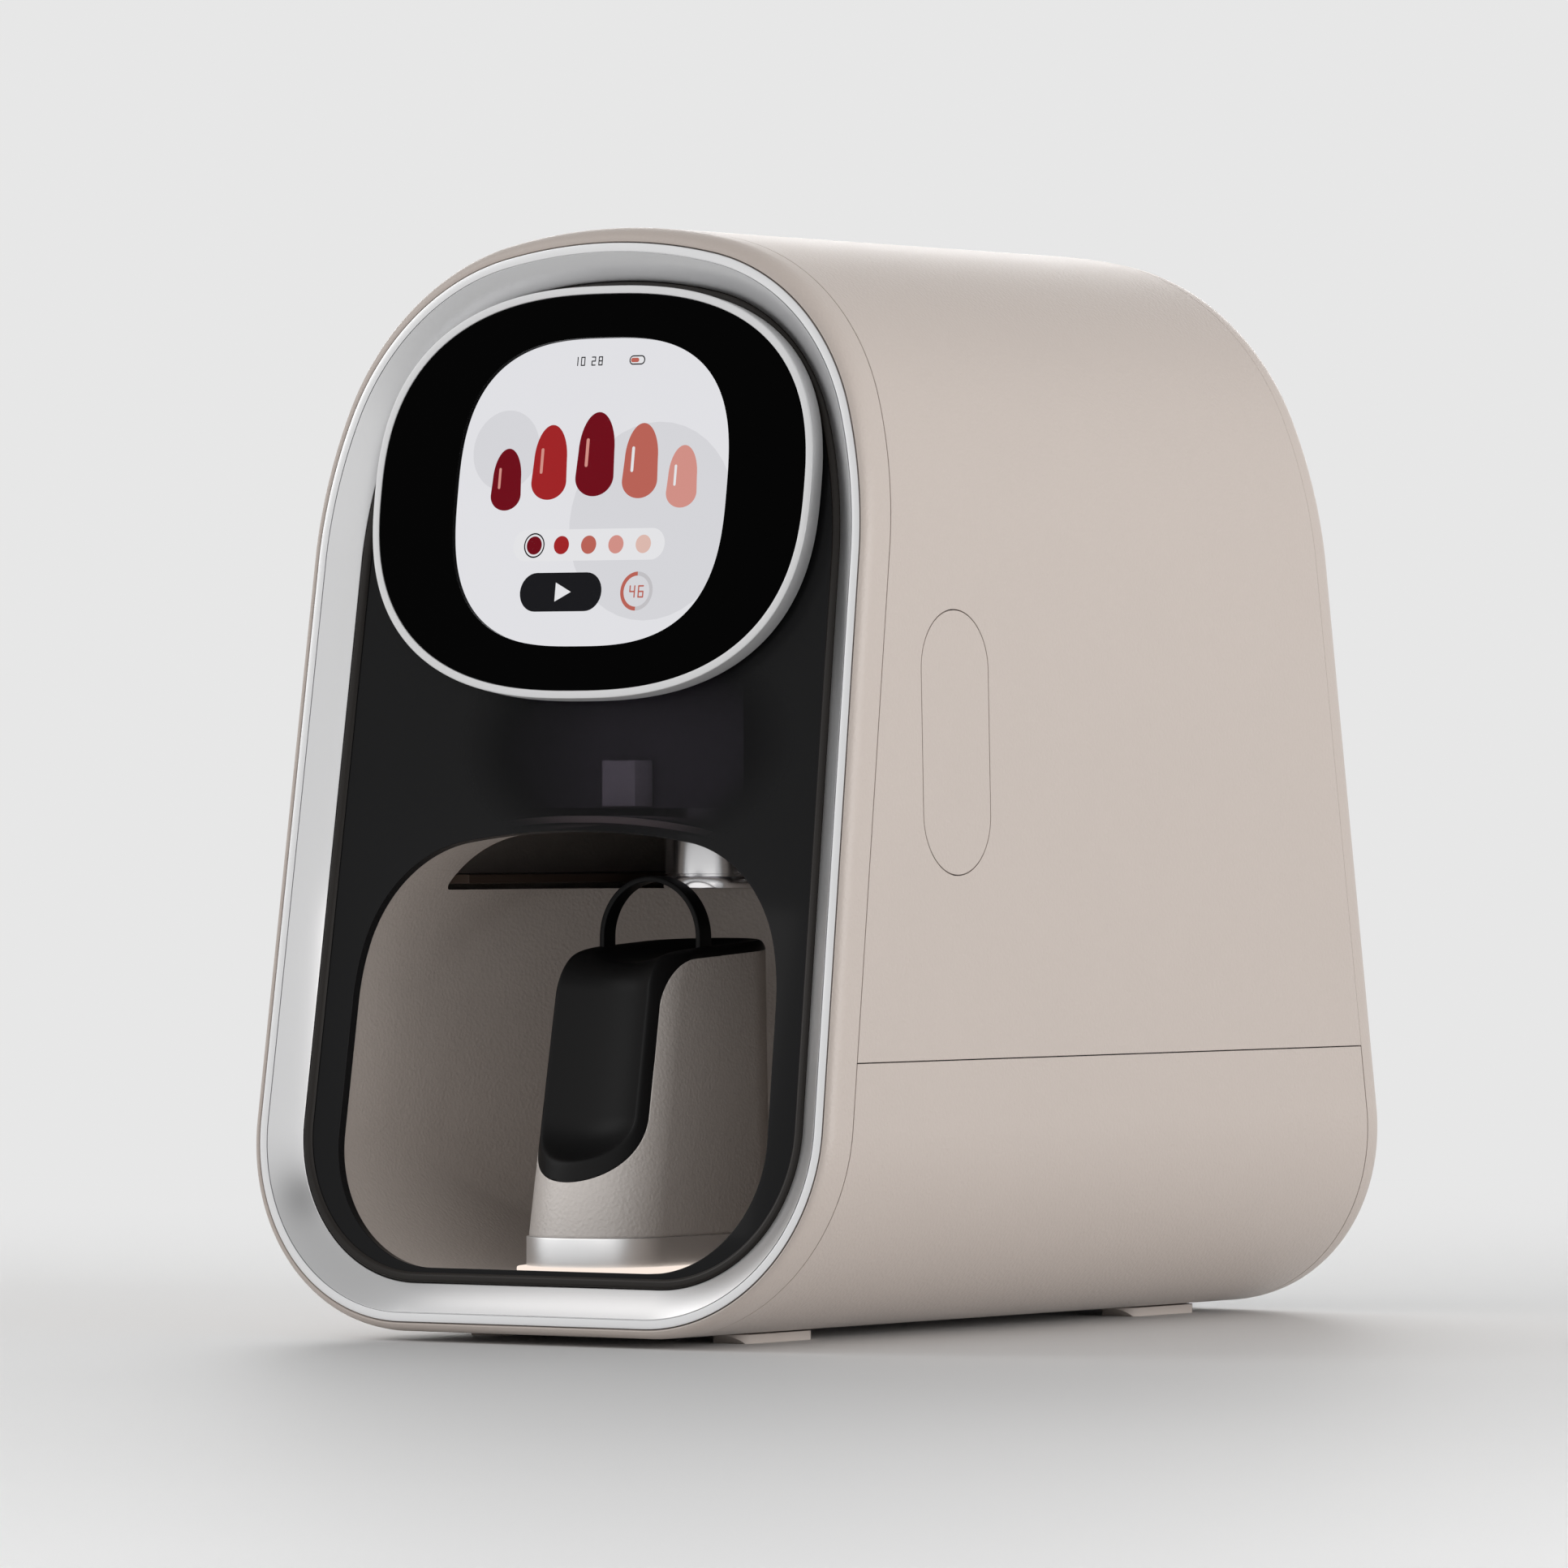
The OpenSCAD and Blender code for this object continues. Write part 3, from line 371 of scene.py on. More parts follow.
motor_m = surface("motor", (0.04, 0.04, 0.042), 0.4, grain=(0.0005, 0.00001, "fine"))
head_m = surface("head", (0.15, 0.145, 0.165), 0.35, grain=(0.0004, 0.000005, "fine"))
sensor_m = surface("sensor", (0.85, 0.85, 0.87), 0.3, grain=(0.0004, 0.000003, "fine"))
board_m = surface("board", (0.02, 0.12, 0.07), 0.4, scale=300, spread=0.3)
foot_m = surface("foot", (0.52, 0.46, 0.42), 0.6, grain=(0.0006, 0.00001, "fine"))
HEAD_VIEW = ((14, OPEN_TOP + 24), (58, 34))  # middle (x, z) and half sizes of the clearer part of the panel
smoked_m = see_through("smoked", ((0.0085, 0.0085, 0.009), 0.22, 0.11), 0.50, (0.65, 0.61, 0.66), HEAD_VIEW)
frame_m = see_through("frame", ((0.010, 0.010, 0.011), 0.4, 0.3), 0.85, (1, 1, 1), HEAD_VIEW)
clear_m = see_through("clear_glass", ((0.001, 0.001, 0.001), 0.05, 0.1), 0.98, (1, 1, 1))
border_m = surface("glass_border", (0.0004, 0.0004, 0.0004), 0.1, spec=0.02)
light_m = glow("light", (1.0, 0.86, 0.76), 1.0)


# ---------- shell ----------
def resample(p, n):
    """The same open line, walked in n even steps."""
    d = [0.0]
    for i in range(1, len(p)):
        d.append(d[-1] + math.dist(p[i], p[i - 1]))
    out, j = [], 0
    for i in range(n):
        t = d[-1] * i / (n - 1)
        while j < len(d) - 2 and d[j + 1] < t:
            j += 1
        q = (t - d[j]) / (d[j + 1] - d[j])
        out.append((p[j][0] + (p[j + 1][0] - p[j][0]) * q, p[j][1] + (p[j + 1][1] - p[j][1]) * q))
    return out


def cut_line(pts, seam, keep):
    """The part of a closed outline that keep(z) picks, ending on the seam at both ends."""
    n, run = len(pts), []
    start = next(i for i in range(n) if keep(pts[i][1]) and not keep(pts[i - 1][1]))
    for s in range(n + 1):
        a, b = pts[(start + s - 1) % n], pts[(start + s) % n]
        if keep(a[1]) != keep(b[1]):
            t = (seam - a[1]) / (b[1] - a[1])
            run.append((a[0] + (b[0] - a[0]) * t, seam))
            if run[1:]:
                break
        if keep(b[1]):
            run.append(b)
    return run


def shell_strip(seam, keep, y_back):
    """Arch wall between the rims, as closed sections along the outline."""
    a, b = cut_line(face(OUT, 1), seam, keep), cut_line(face(IN, 0), seam, keep)
    b = resample(b, len(a)) if len(a) != len(b) else b
    f = SEAM_F + SEAM_GAP / 2
    return rings([[(xo, fy(zo) + f, zo), (xo, -fy(zo) - y_back, zo),
                   (xi, -fy(zi) - y_back, zi), (xi, fy(zi) + f, zi)]
                  for (xo, zo), (xi, zi) in zip(a, b)], close=False, cap=True)


high, low = SEAM_Z + SEAM_GAP / 2, SEAM_Z - SEAM_GAP / 2
button_hole = prism(capsule(BTN_W, BTN_H), lambda y, z: (80, y, z), lambda y, z: (100, y, z))
show("shell_upper", combined("shell_upper", shell_strip(high, lambda z: z > high, REAR + 0.02),
                             [("DIFFERENCE", button_hole)]),
     "case", leather, ("upper_shell",), bevel=0.12)
piece("shell_lower", shell_strip(low, lambda z: z < low, REAR + SEAM_GAP), "case", leather,
      ("lower_cover",), bevel=0.12)
piece("button_cap", prism(capsule(BTN_W - 0.6, BTN_H - 0.6), lambda y, z: (side_x(z, OUT), y, z),
                          lambda y, z: (side_x(z, IN), y, z)),
      "button", leather, ("side_button",), bevel=0.12)

# sections carried round the face: inset from the bezel edge, crown share, depth, and 1 from the back;
# a fifth value is the radius of that corner
ROLL = [[-0.2, 0, 0.6], [-0.35, 0.02, 0.2], [-0.7, 0.15, 0.05], [-1.2, 0.35, 0.22], [-1.7, 0.55, 0.7],
        [-2.15, 0.74, 1.55], [-2.45, 0.87, 2.6], [-2.67, 0.96, 4], [OUT, 1, 5.6]]
piece("rim_front", carried([[*q, 0] for q in ROLL]
                           + [[OUT, 1, SEAM_F - 0.3, 0], [OUT + 0.12, 1, SEAM_F - 0.15, 0],
                              [5.4, 0, SEAM_F - 0.15, 0], [5.4, 0, 8.9, 0], [-0.2, 0, 8.9, 0]]),
      "case", leather, ("front_rim",))
BACK_ROLL = [[OUT, 1, REAR], [OUT, 1, 5.6], [-2.67, 0.97, 4], [-2.45, 0.93, 2.6], [-2.1, 0.84, 1.5],
             [-1.6, 0.68, 0.6], [-1.1, 0.48, 0.2], [-0.6, 0.25, 0.05], [-0.3, 0.1, 0.12],
             [IN, 0, 0.4], [IN, 0, 4], [5, 0, 4], [5, 0, 6.5], [IN, 0, 6.5], [IN, 0, REAR]]
piece("rim_rear", carried([[*q, 1] for q in BACK_ROLL]), "case", leather, ("rear_rim",))

# ---------- bezel, gasket, panel ----------
# outer flat, fine groove, inward slope, and the underside
BEZEL = [[0, 0, 0, 0, 0.25], [2.30, 0, 0, 0, 0.05], [2.34, 0, 0.55, 0, 0.02], [2.54, 0, 0.55, 0, 0.02],
         [2.60, 0, 0.0, 0, 0.06], [10.2, 0, 6.1, 0, 0.3], [10.2, 0, 7.1, 0], [8.8, 0, 7.1, 0],
         [2.7, 0, 2.2, 0], [1.5, 0, 2.2, 0], [1.5, 0, 8.6, 0], [0, 0, 8.6, 0]]
# rounded lip over the panel, and the web behind the bezel
GASKET = [[10.3, 0, 6.15, 0], [10.9, 0, 5.75, 0], [12.3, 0, 5.75, 0], [13.0, 0, 6.5, 0],
          [12.9, 0, 6.6, 0], [11.2, 0, 6.6, 0], [11.2, 0, 9.7, 0], [10.3, 0, 9.7, 0]]
piece("bezel_ring", carried(rounded(BEZEL, 0.18)), "case", silver, ("bezel",))
piece("gasket_ring", carried(rounded(GASKET, 0.3)), "case", gasket_m, ("gasket",))


def panel():
    """Front panel: its outline with two holes, front and back."""
    bm = bmesh.new()
    lines = [[at_face(x, z / CL, 0, PANEL) for x, z in face(11.4)],
             [at_face(x, z / CL, 0, PANEL) for x, z in opening(0)],
             [at_face(x, DISP + s, -PANEL * CL)
              for x, s in superellipse(GLASS_A - 9.5, GLASS_B - 9.7, DISP_N)]]
    inward = Vector((0, CL, -SL))
    last = None
    for t in (0, 1):
        loops = []
        for line in lines:
            vs = [bm.verts.new(Vector(p) + inward * PANEL_T * t) for p in line]
            loops.append((vs, [bm.edges.new((vs[i], vs[(i + 1) % len(vs)])) for i in range(len(vs))]))
        bmesh.ops.triangle_fill(bm, use_beauty=True, edges=[e for _, es in loops for e in es])
        for (a, _), (b, _) in zip(last or [], loops):
            for i in range(len(a)):
                bm.faces.new((a[i], a[(i + 1) % len(a)], b[(i + 1) % len(a)], b[i]))
        last = loops
    bmesh.ops.dissolve_limit(bm, angle_limit=0.001, verts=bm.verts, edges=bm.edges)
    bm.verts.index_update()
    geo = [tuple(x.co) for x in bm.verts], [[x.index for x in f.verts] for f in bm.faces]
    bm.free()
    return geo


piece("panel_front", panel(), "case", smoked_m, ("front_panel",), bevel=0.25, seg=3)


# ---------- display ----------
def disp(x, s, n):
    """Point on the display: x across and s up from its middle, n out of the glass."""
    return at_face(x, DISP + s, n)


def slab(a, b, n, low, high):
    return prism(superellipse(a, b, n), lambda x, s: disp(x, s, low), lambda x, s: disp(x, s, high))


def ring_loops(sec):
    return rings([[disp(x, s, h) for x, s in superellipse(GLASS_A + i, GLASS_B + i, DISP_N)] for i, h in sec])


edge = rounded([[RING_W, 0, 0, 0], [RING_W, 0, -RING_DEEP, 0],
                [0.0, 0, -RING_DEEP, 0], [0.0, 0, 0, 0]], 0.35, 4)
piece("display_ring", ring_loops([(p[0], p[2]) for p in edge]), "case", display_m,
      ("display_housing",))
piece("display_back", slab(GLASS_A - 0.1, GLASS_B - 0.1, DISP_N, -RING_DEEP, 1.3 - RING_DEEP), "case", black)
neck = [(-i, -h) for i, h in ((NECK_IN, RING_DEEP + 0.05), (NECK_IN, RING_DEEP + 5.5),
                              (NECK_IN + 3.1, RING_DEEP + 5.5), (NECK_IN + 3.1, RING_DEEP + 0.05))]
piece("display_collar", ring_loops(neck), "case", black, ("display_neck",))

# cover glass: black border, and the clear window let into it
inner, outer = superellipse(SCREEN_A, SCREEN_B, SCREEN_N), superellipse(GLASS_A - 0.1, GLASS_B - 0.1, DISP_N)
piece("glass_border", rings([[disp(*p, 0) for p in inner],
                             [disp(*p, 0) for p in superellipse(GLASS_A - 0.25, GLASS_B - 0.25, DISP_N)],
                             [disp(*p, -0.12) for p in outer], [disp(*p, -GLASS_T) for p in outer],
                             [disp(*p, -GLASS_T) for p in inner]]),
      "case", border_m, ("display_glass",), angle=20)
piece("glass_window", slab(SCREEN_A - 0.02, SCREEN_B - 0.02, SCREEN_N, -GLASS_T, 0), "case", clear_m)
piece("screen_panel", slab(SCREEN_A + 0.6, SCREEN_B + 0.6, SCREEN_N, -3.8, -1.75), "case",
      glow("screen_white", (0.78, 0.78, 0.81)), ("display_screen",))


# ---------- picture on the screen: a colour chooser, drawn with plain shapes ----------
INKS = {"pale": (0.69, 0.69, 0.72), "grey": (0.56, 0.55, 0.57), "dark": (0.012, 0.012, 0.014),
        "wine": (0.16, 0.006, 0.012), "red": (0.36, 0.02, 0.022), "salmon": (0.50, 0.13, 0.10),
        "rose": (0.66, 0.29, 0.25), "nude": (0.74, 0.50, 0.44), "white": (0.80, 0.80, 0.82)}
layout = []                        # (ink, level, outline)


def draw(ink, level, pts):
    layout.append((ink, level, pts))


def dot(x, s, r, m=40):
    return [(x + r * math.cos(2 * math.pi * i / m), s + r * math.sin(2 * math.pi * i / m)) for i in range(m)]


def pill(x, s, w, h, m=16):
    r = h / 2
    return [(x + sx * (w / 2 - r) + r * math.cos(a0 + math.pi * i / m),
             s + r * math.sin(a0 + math.pi * i / m))
            for sx, a0 in ((1, -math.pi / 2), (-1, math.pi / 2)) for i in range(m + 1)]


def nail(x, s, w, h, m=24):
    """Nail seen from above: rounded root, nearly straight sides, almond tip."""
    a = [math.pi * i / m for i in range(m + 1)]
    tip = [(0.47 * w * math.cos(t), h / 2 - 0.85 * w + 0.85 * w * math.sin(t)) for t in a]
    root = [(-0.5 * w * math.cos(t), -h / 2 + 0.42 * w - 0.42 * w * math.sin(t)) for t in a]
    return [(x + px, s + ps) for px, ps in tip + root]


def arc_band(x, s, r, w, a0, a1, m=48):
    a = [math.radians(a0 + (a1 - a0) * i / m) for i in range(m + 1)]
    return ([(x + r * math.cos(t), s + r * math.sin(t)) for t in a]
            + [(x + (r - w) * math.cos(t), s + (r - w) * math.sin(t)) for t in reversed(a)])


SEGMENTS = {"0": "abcdef", "1": "bc", "2": "abged", "4": "fgbc", "6": "afgedc", "8": "abcdefg"}


def digit(ch, x, s, w, h, t, ink):
    """Number made of seven strokes."""
    bars = {"a": (0, h, w, t), "g": (0, h / 2, w, t), "d": (0, 0, w, t), "b": (w / 2, h * 0.75, t, h / 2),
            "c": (w / 2, h * 0.25, t, h / 2), "f": (-w / 2, h * 0.75, t, h / 2),
            "e": (-w / 2, h * 0.25, t, h / 2)}
    for b in SEGMENTS[ch]:
        bx, bs, bw, bh = bars[b]
        if bw > bh:
            draw(ink, 2, pill(x + bx, s + bs, bw + t, bh))
        else:
            draw(ink, 2, [(x + bx + q, s + bs + r) for r, q in pill(0, 0, bh + t, bw)])


# status row: two numbers, a charge mark
for i, ch in enumerate("1028"):
    digit(ch, -9.2 + 2.3 * i + (1.2 if i > 1 else 0), 34.9, 1.1, 2.2, 0.32, "dark")
draw("dark", 2, pill(11.0, 36.0, 5.2, 2.6))
draw("white", 3, pill(11.0, 36.0, 4.5, 1.9))
draw("salmon", 4, pill(10.3, 36.0, 2.7, 1.2))
# pale ground shapes behind the nails
draw("pale", 1, dot(20, -8, 27))
draw("pale", 1, dot(-30, 12, 11))
# five nails in a row that rises to the middle
for x, s, w, h, ink in ((-29, 4, 10, 17, "wine"), (-15, 8.5, 11.6, 20.5, "red"), (0, 10.5, 12.6, 23, "wine"),
                        (15, 8.5, 11.6, 20.5, "salmon"), (29, 4, 10, 17, "rose")):
    draw(ink, 2, nail(x, s, w, h))
    draw("rose" if ink in ("wine", "red") else "white", 3,
         [(x - w * 0.24 + q, s + h * 0.02 + r) for r, q in pill(0, 0, h * 0.34, w * 0.08)])
# row of colours with the chosen one ringed
draw("white", 2, pill(0, -14.2, 50, 8.6))
for i, ink in enumerate(("wine", "red", "salmon", "rose", "nude")):
    draw(ink, 3, dot(-18 + 9 * i, -14.2, 2.5))
draw("dark", 3, arc_band(-18, -14.2, 3.4, 0.4, 0, 180))
draw("dark", 3, arc_band(-18, -14.2, 3.4, 0.4, 180, 360))
# dark pill with a mark, and a gauge beside it
draw("dark", 2, pill(-8, -27, 27, 10.6))
draw("white", 3, [(-9.8, -29.6), (-4.6, -27), (-9.8, -24.4)])
draw("grey", 2, arc_band(17, -27, 5.3, 1.1, -90, 90))
draw("salmon", 2, arc_band(17, -27, 5.3, 1.1, 90, 270))
for i, ch in enumerate("46"):
    digit(ch, 15.6 + 2.8 * i, -28.6, 1.5, 3.0, 0.42, "salmon")


def picture():
    verts, faces, kinds = [], [], []
    names = list(INKS)
    for ink, level, pts in layout:
        base = len(verts)
        verts += [disp(x, s, -1.74 + 0.03 * level) for x, s in pts]
        faces.append(tuple(range(base, base + len(pts))))
        kinds.append(names.index(ink))
    me = bpy.data.meshes.new("screen_picture")
    me.from_pydata([Vector(v) * MM for v in verts], [], faces)
    for f, k in zip(me.polygons, kinds):
        f.material_index = k
    show("screen_picture", me, "case", [glow("ink_" + n, c) for n, c in INKS.items()])


picture()


# ---------- hand chamber ----------
def chamber_row(w, z):
    """Wall line of the chamber at height z, from the left front round the back, with soft corners."""
    front, a = fy(z) + PANEL_BACK + 0.1, OPEN_W + 1.5
    t0 = math.acos(min(1.0, w / a))
    low = z - (SILL - 1.5)
    depth = END_D - (6 - math.sqrt(max(0, 36 - (6 - low) ** 2)) if low < 6 else 0)
    side = BEND_Y + depth * math.sin(t0)
    q = min(9.0, (math.pi / 2 - t0) * 50, side - front - 1)
    t1 = t0 + q / 70
    on_end = lambda t: (a * math.cos(t), BEND_Y + depth * math.sin(t))
    first, corner, last = (w, side - q), (w, side), on_end(t1)
    half = [(w, front + (side - q - front) * i / 12) for i in range(12)]
    half += [bend(first, corner, last, i / 10) for i in range(11)]
    half += [on_end(t1 + (math.pi / 2 - t1) * i / 40) for i in range(1, 41)]
    return [(x, y, z) for x, y in half] + [(-x, y, z) for x, y in reversed(half[:-1])]


def lining():
    """Lining of the hand chamber: skin with thickness, open above behind the mouth."""
    arch_half = [p for p in opening(-1.5, 5) if p[0] >= 0]
    top = max(arch_half, key=lambda p: p[1])[1]
    rows = sorted(((x, z) for x, z in arch_half if x > 3), key=lambda p: p[1])
    rows = [rows[0]] + [q for p, q in zip(rows, rows[1:]) if q[1] > p[1] + 0.01]
    loops = [chamber_row(x, z) for x, z in rows if z < top - 0.05]
    n, m = len(loops[0]), len(loops)
    verts = [p for lp in loops for p in lp]
    faces = [(i * n + j, i * n + j + 1, (i + 1) * n + j + 1, (i + 1) * n + j)
             for i in range(m - 1) for j in range(n - 1)]
    faces += [tuple(range(n)), tuple(range((m - 1) * n, m * n))]
    ob = bpy.data.objects.new("skin", mesh_of("skin", verts, faces))
    bpy.context.scene.collection.objects.link(ob)
    thick = ob.modifiers.new("thick", "SOLIDIFY")
    thick.thickness, thick.offset, thick.use_even_offset = LINER_T * MM, 1, True
    bpy.context.view_layer.update()
    wall = bpy.data.meshes.new_from_object(ob.evaluated_get(bpy.context.evaluated_depsgraph_get()))
    bpy.data.objects.remove(ob)
    r = 2.4
    side = ([(MOUTH_Y, 400)] + [(MOUTH_Y + r * (1 - math.cos(math.pi * i / 24)),
                                 LINER_TOP + r * (1 - math.sin(math.pi * i / 24))) for i in range(13)]
            + [(80, LINER_TOP), (80, 400)])
    cut = prism(side, lambda y, z: (-120, y, z), lambda y, z: (120, y, z))
    return combined("liner", wall, [("DIFFERENCE", cut)], 40)


show("liner", lining(), "case", liner_m, ("chamber_liner",), bevel=0.25, seg=2, angle=45)

# ---------- finger rest ----------
REST_TOP, RING_TOP, REST_R, REAR_Y = 105.99, 28.0, 18.6, -63.3
ROLL_R, LIP_R, SCOOP_R, GROOVE_R, TROUGH_R = 15.5, 2.2, 30.0, 15.2, 14.5
RISE = REST_TOP - 24
FA, TA = math.atan(14.6 / RISE), math.atan(0.0576)
N1, N2 = (-math.sin(TA), math.cos(TA)), (-math.cos(FA), math.sin(FA))
TONGUE, TONGUE_Z = (21.6, 17.6), REST_TOP - 45.5   # half sizes of the tongue's end, and their height
BAND_T, TONGUE_T, FILLET = 3.0, 11.0, 12.0         # depths of the black part, and the corner between them
SIDE_ROWS, ROLL_ROWS, TOP_ROWS = 90, 44, 34


def rest_r(z):
    return REST_R + (REST_TOP - z) * 1.4 / RISE


def rest_y(z):
    return -95.06 - (REST_TOP - z) * 13.2 / RISE


TIP1 = -83 * N1[0] + (REST_TOP + 0.1) * N1[1]
TIP2 = (rest_y(REST_TOP) - REST_R) * N2[0] + REST_TOP * N2[1]


def spot(d1, d2):
    """Point of the side view, d1 over the top line and d2 before the front line."""
    k1, k2, det = TIP1 + d1, TIP2 + d2, N1[0] * N2[1] - N1[1] * N2[0]
    return (k1 * N2[1] - N1[1] * k2) / det, (N1[0] * k2 - k1 * N2[0]) / det


def over_top(y, z):
    return y * N1[0] + z * N1[1] - TIP1


def before_front(y, z):
    return y * N2[0] + z * N2[1] - TIP2


def rest_loop(yf, zf, r, tilt, inset, m=110, n=50):
    """Stadium slice with its front end at yf, tilted, and inset inside its outline."""
    q, c = max(r - inset, 0.0), yf + r
    turns = [math.pi * i / m for i in range(m + 1)]
    front = [(-q * math.cos(a), c - q * math.sin(a)) for a in turns]
    back = [(q * math.cos(a), REAR_Y + q * math.sin(a)) for a in turns]
    right = [(q, c + (REAR_Y - c) * i / n) for i in range(1, n)]
    left = [(-q, REAR_Y + (c - REAR_Y) * i / n) for i in range(1, n)]
    return [(x, y, zf + (y - yf) * tilt) for x, y in front + right + back + left]


def rest_loops(z0):
    """Loops up the side, round the rolled front edge, and in over the top."""
    c = spot(-ROLL_R, -ROLL_R)
    a0, a1 = math.pi - FA, math.pi / 2 + TA
    start = c[0] + ROLL_R * math.cos(a0), c[1] + ROLL_R * math.sin(a0)
    loops = []
    for i in range(SIDE_ROWS):
        z = z0 + (start[1] - z0) * i / SIDE_ROWS
        loops.append(rest_loop(start[0] - (start[1] - z) * math.tan(FA), z, rest_r(z), 0.0, 0.0))
    for i in range(ROLL_ROWS + 1):
        a = a0 + (a1 - a0) * i / ROLL_ROWS
        y, z = c[0] + ROLL_R * math.cos(a), c[1] + ROLL_R * math.sin(a)
        low = min(-over_top(y, z), LIP_R)
        inset = LIP_R - math.sqrt(max(0, LIP_R ** 2 - (LIP_R - low) ** 2))
        loops.append(rest_loop(y, z, rest_r(z), math.tan(TA) * i / ROLL_ROWS, inset))
    y, z = c[0] + ROLL_R * math.cos(a1), c[1] + ROLL_R * math.sin(a1)
    for i in range(1, TOP_ROWS + 1):
        loops.append(rest_loop(y, z, rest_r(z), math.tan(TA), LIP_R + (rest_r(z) - LIP_R) * i / TOP_ROWS))
    return loops


TOP_OFF = math.sqrt(SCOOP_R ** 2 - TROUGH_R ** 2)
FRONT_OFF = math.sqrt(SCOOP_R ** 2 - GROOVE_R ** 2) - 19 + math.sqrt(361 - GROOVE_R ** 2)
BEND_R = SCOOP_R + 10
BEND_C = spot(TOP_OFF - BEND_R, FRONT_OFF - BEND_R)
LOW_Z = REST_TOP - 57.3
low_y = (TIP2 - LOW_Z * N2[1]) / N2[0]
BLUNT = 1.75                       # how much shorter than round the lower end of the groove is
drop = math.sqrt(SCOOP_R ** 2 - FRONT_OFF ** 2) / BLUNT
LOW_C = (low_y + FRONT_OFF * N2[0] + drop * math.sin(FA), LOW_Z + FRONT_OFF * N2[1] + drop * math.cos(FA))


# path of the scoop's middle: up the front, round the bend and back along the top
def scooped(p, soft=1.5):
    """Point of the column moved out of the scoop that forms groove and trough, with a soft rim."""
    x, y, z = p
    past = 0.0
    qy, qz = y - BEND_C[0], z - BEND_C[1]
    a = math.atan2(qz, -qy)
    if a > math.pi or a < -math.pi / 2:
        a = math.pi
    if FA <= a <= math.pi / 2 - TA:
        ny, nz = BEND_C[0] - BEND_R * math.cos(a), BEND_C[1] + BEND_R * math.sin(a)
    elif a < FA:                   # straight run down the front
        py, pz = BEND_C[0] + BEND_R * N2[0], BEND_C[1] + BEND_R * N2[1]
        dy, dz = LOW_C[0] - py, LOW_C[1] - pz
        run = math.hypot(dy, dz)
        t = ((y - py) * dy + (z - pz) * dz) / run
        past = max(0.0, t - run)
        t = max(0.0, min(run, t))
        ny, nz = py + dy * t / run, pz + dz * t / run
    else:                          # run along the top, to a round end
        py, pz = BEND_C[0] + BEND_R * N1[0], BEND_C[1] + BEND_R * N1[1]
        end = (REAR_Y - py) / math.cos(TA)
        t = max(0.0, min(end, (y - py) * math.cos(TA) + (z - pz) * math.sin(TA)))
        ny, nz = py + math.cos(TA) * t, pz + math.sin(TA) * t
    dx, dy, dz = x, y - ny, z - nz
    d = math.sqrt(dx * dx + dy * dy + dz * dz + (BLUNT ** 2 - 1) * past ** 2)
    e = (d + SCOOP_R + math.sqrt((d - SCOOP_R) ** 2 + soft * soft)) / 2
    return (dx * e / d, ny + dy * e / d, nz + dz * e / d)


def black_part(p):
    """Negative where the rest is black: the top band, and the tongue down the front."""
    x, y, z = p
    h1 = -before_front(y, z) - TONGUE_T * math.cos(FA)
    h2 = -over_top(y, z) - BAND_T
    g = max(FILLET, min(h1, h2)) - math.hypot(max(FILLET - h1, 0), max(FILLET - h2, 0))
    if z < REST_TOP - 31:          # half an ellipse on the unrolled front closes the tongue
        u = rest_r(z) * math.atan2(abs(x), rest_y(z) - y)
        g = max(g, (math.hypot(u / TONGUE[0], min(0, z - TONGUE_Z) / TONGUE[1]) - 1) * TONGUE[1])
    return g


def rest_parts():
    """Meshes of the cradle (black) and of the column under it, split on the drawn boundary."""
    verts, faces = rings(rest_loops(RING_TOP + 0.1), close=False)
    bm = bmesh.new()
    vs = [bm.verts.new(v) for v in verts]
    for f in faces:
        bm.faces.new([vs[i] for i in f])
    bmesh.ops.remove_doubles(bm, verts=bm.verts, dist=1e-4)
    side = {v: black_part(v.co) for v in bm.verts}
    for e in list(bm.edges):
        a, b = e.verts
        if (side[a] < 0) != (side[b] < 0):
            t = side[a] / (side[a] - side[b])
            if 0.02 < t < 0.98:
                new = bmesh.utils.edge_split(e, a, t)[1]
                side[new] = 0.0
            else:
                side[a if t <= 0.02 else b] = 0.0
    for f in list(bm.faces):
        on = [v for v in f.verts if side[v] == 0.0]
        if len(on) == 2 and min(side[v] for v in f.verts) < 0 < max(side[v] for v in f.verts):
            bmesh.utils.face_split(f, on[0], on[1])
    for v in bm.verts:
        v.co = scooped(v.co)
    out = []
    for name, want in (("cradle", -1), ("column", 1)):
        part = bm.copy()
        # bmesh copies keep the order, so the signs are matched by index
        signs = [side[v] for v in bm.verts]
        part.verts.ensure_lookup_table()
        other = [f for f in part.faces if want * sum(signs[v.index] for v in f.verts) < 0]
        bmesh.ops.delete(part, geom=other, context="FACES")
        for v in part.verts:
            v.co *= MM
        for f in part.faces:
            f.smooth = True
        me = bpy.data.meshes.new(name)
        bmesh.ops.recalc_face_normals(part, faces=part.faces)
        part.to_mesh(me)
        part.free()
        out.append(me)
    bm.free()
    return out


cradle_me, column_me = rest_parts()
for me, name, mat, slot, nodes in ((cradle_me, "rest_cradle", rubber, "rest_black", ("finger_cradle",)),
                                   (column_me, "rest_column", rest_m, "rest_cover", ("rest_body",))):
    ob = show(name, me, "case", mat, nodes)
    thick = ob.modifiers.new("skin", "SOLIDIFY")
    thick.thickness = 1.4 * MM
    thick.offset = -1


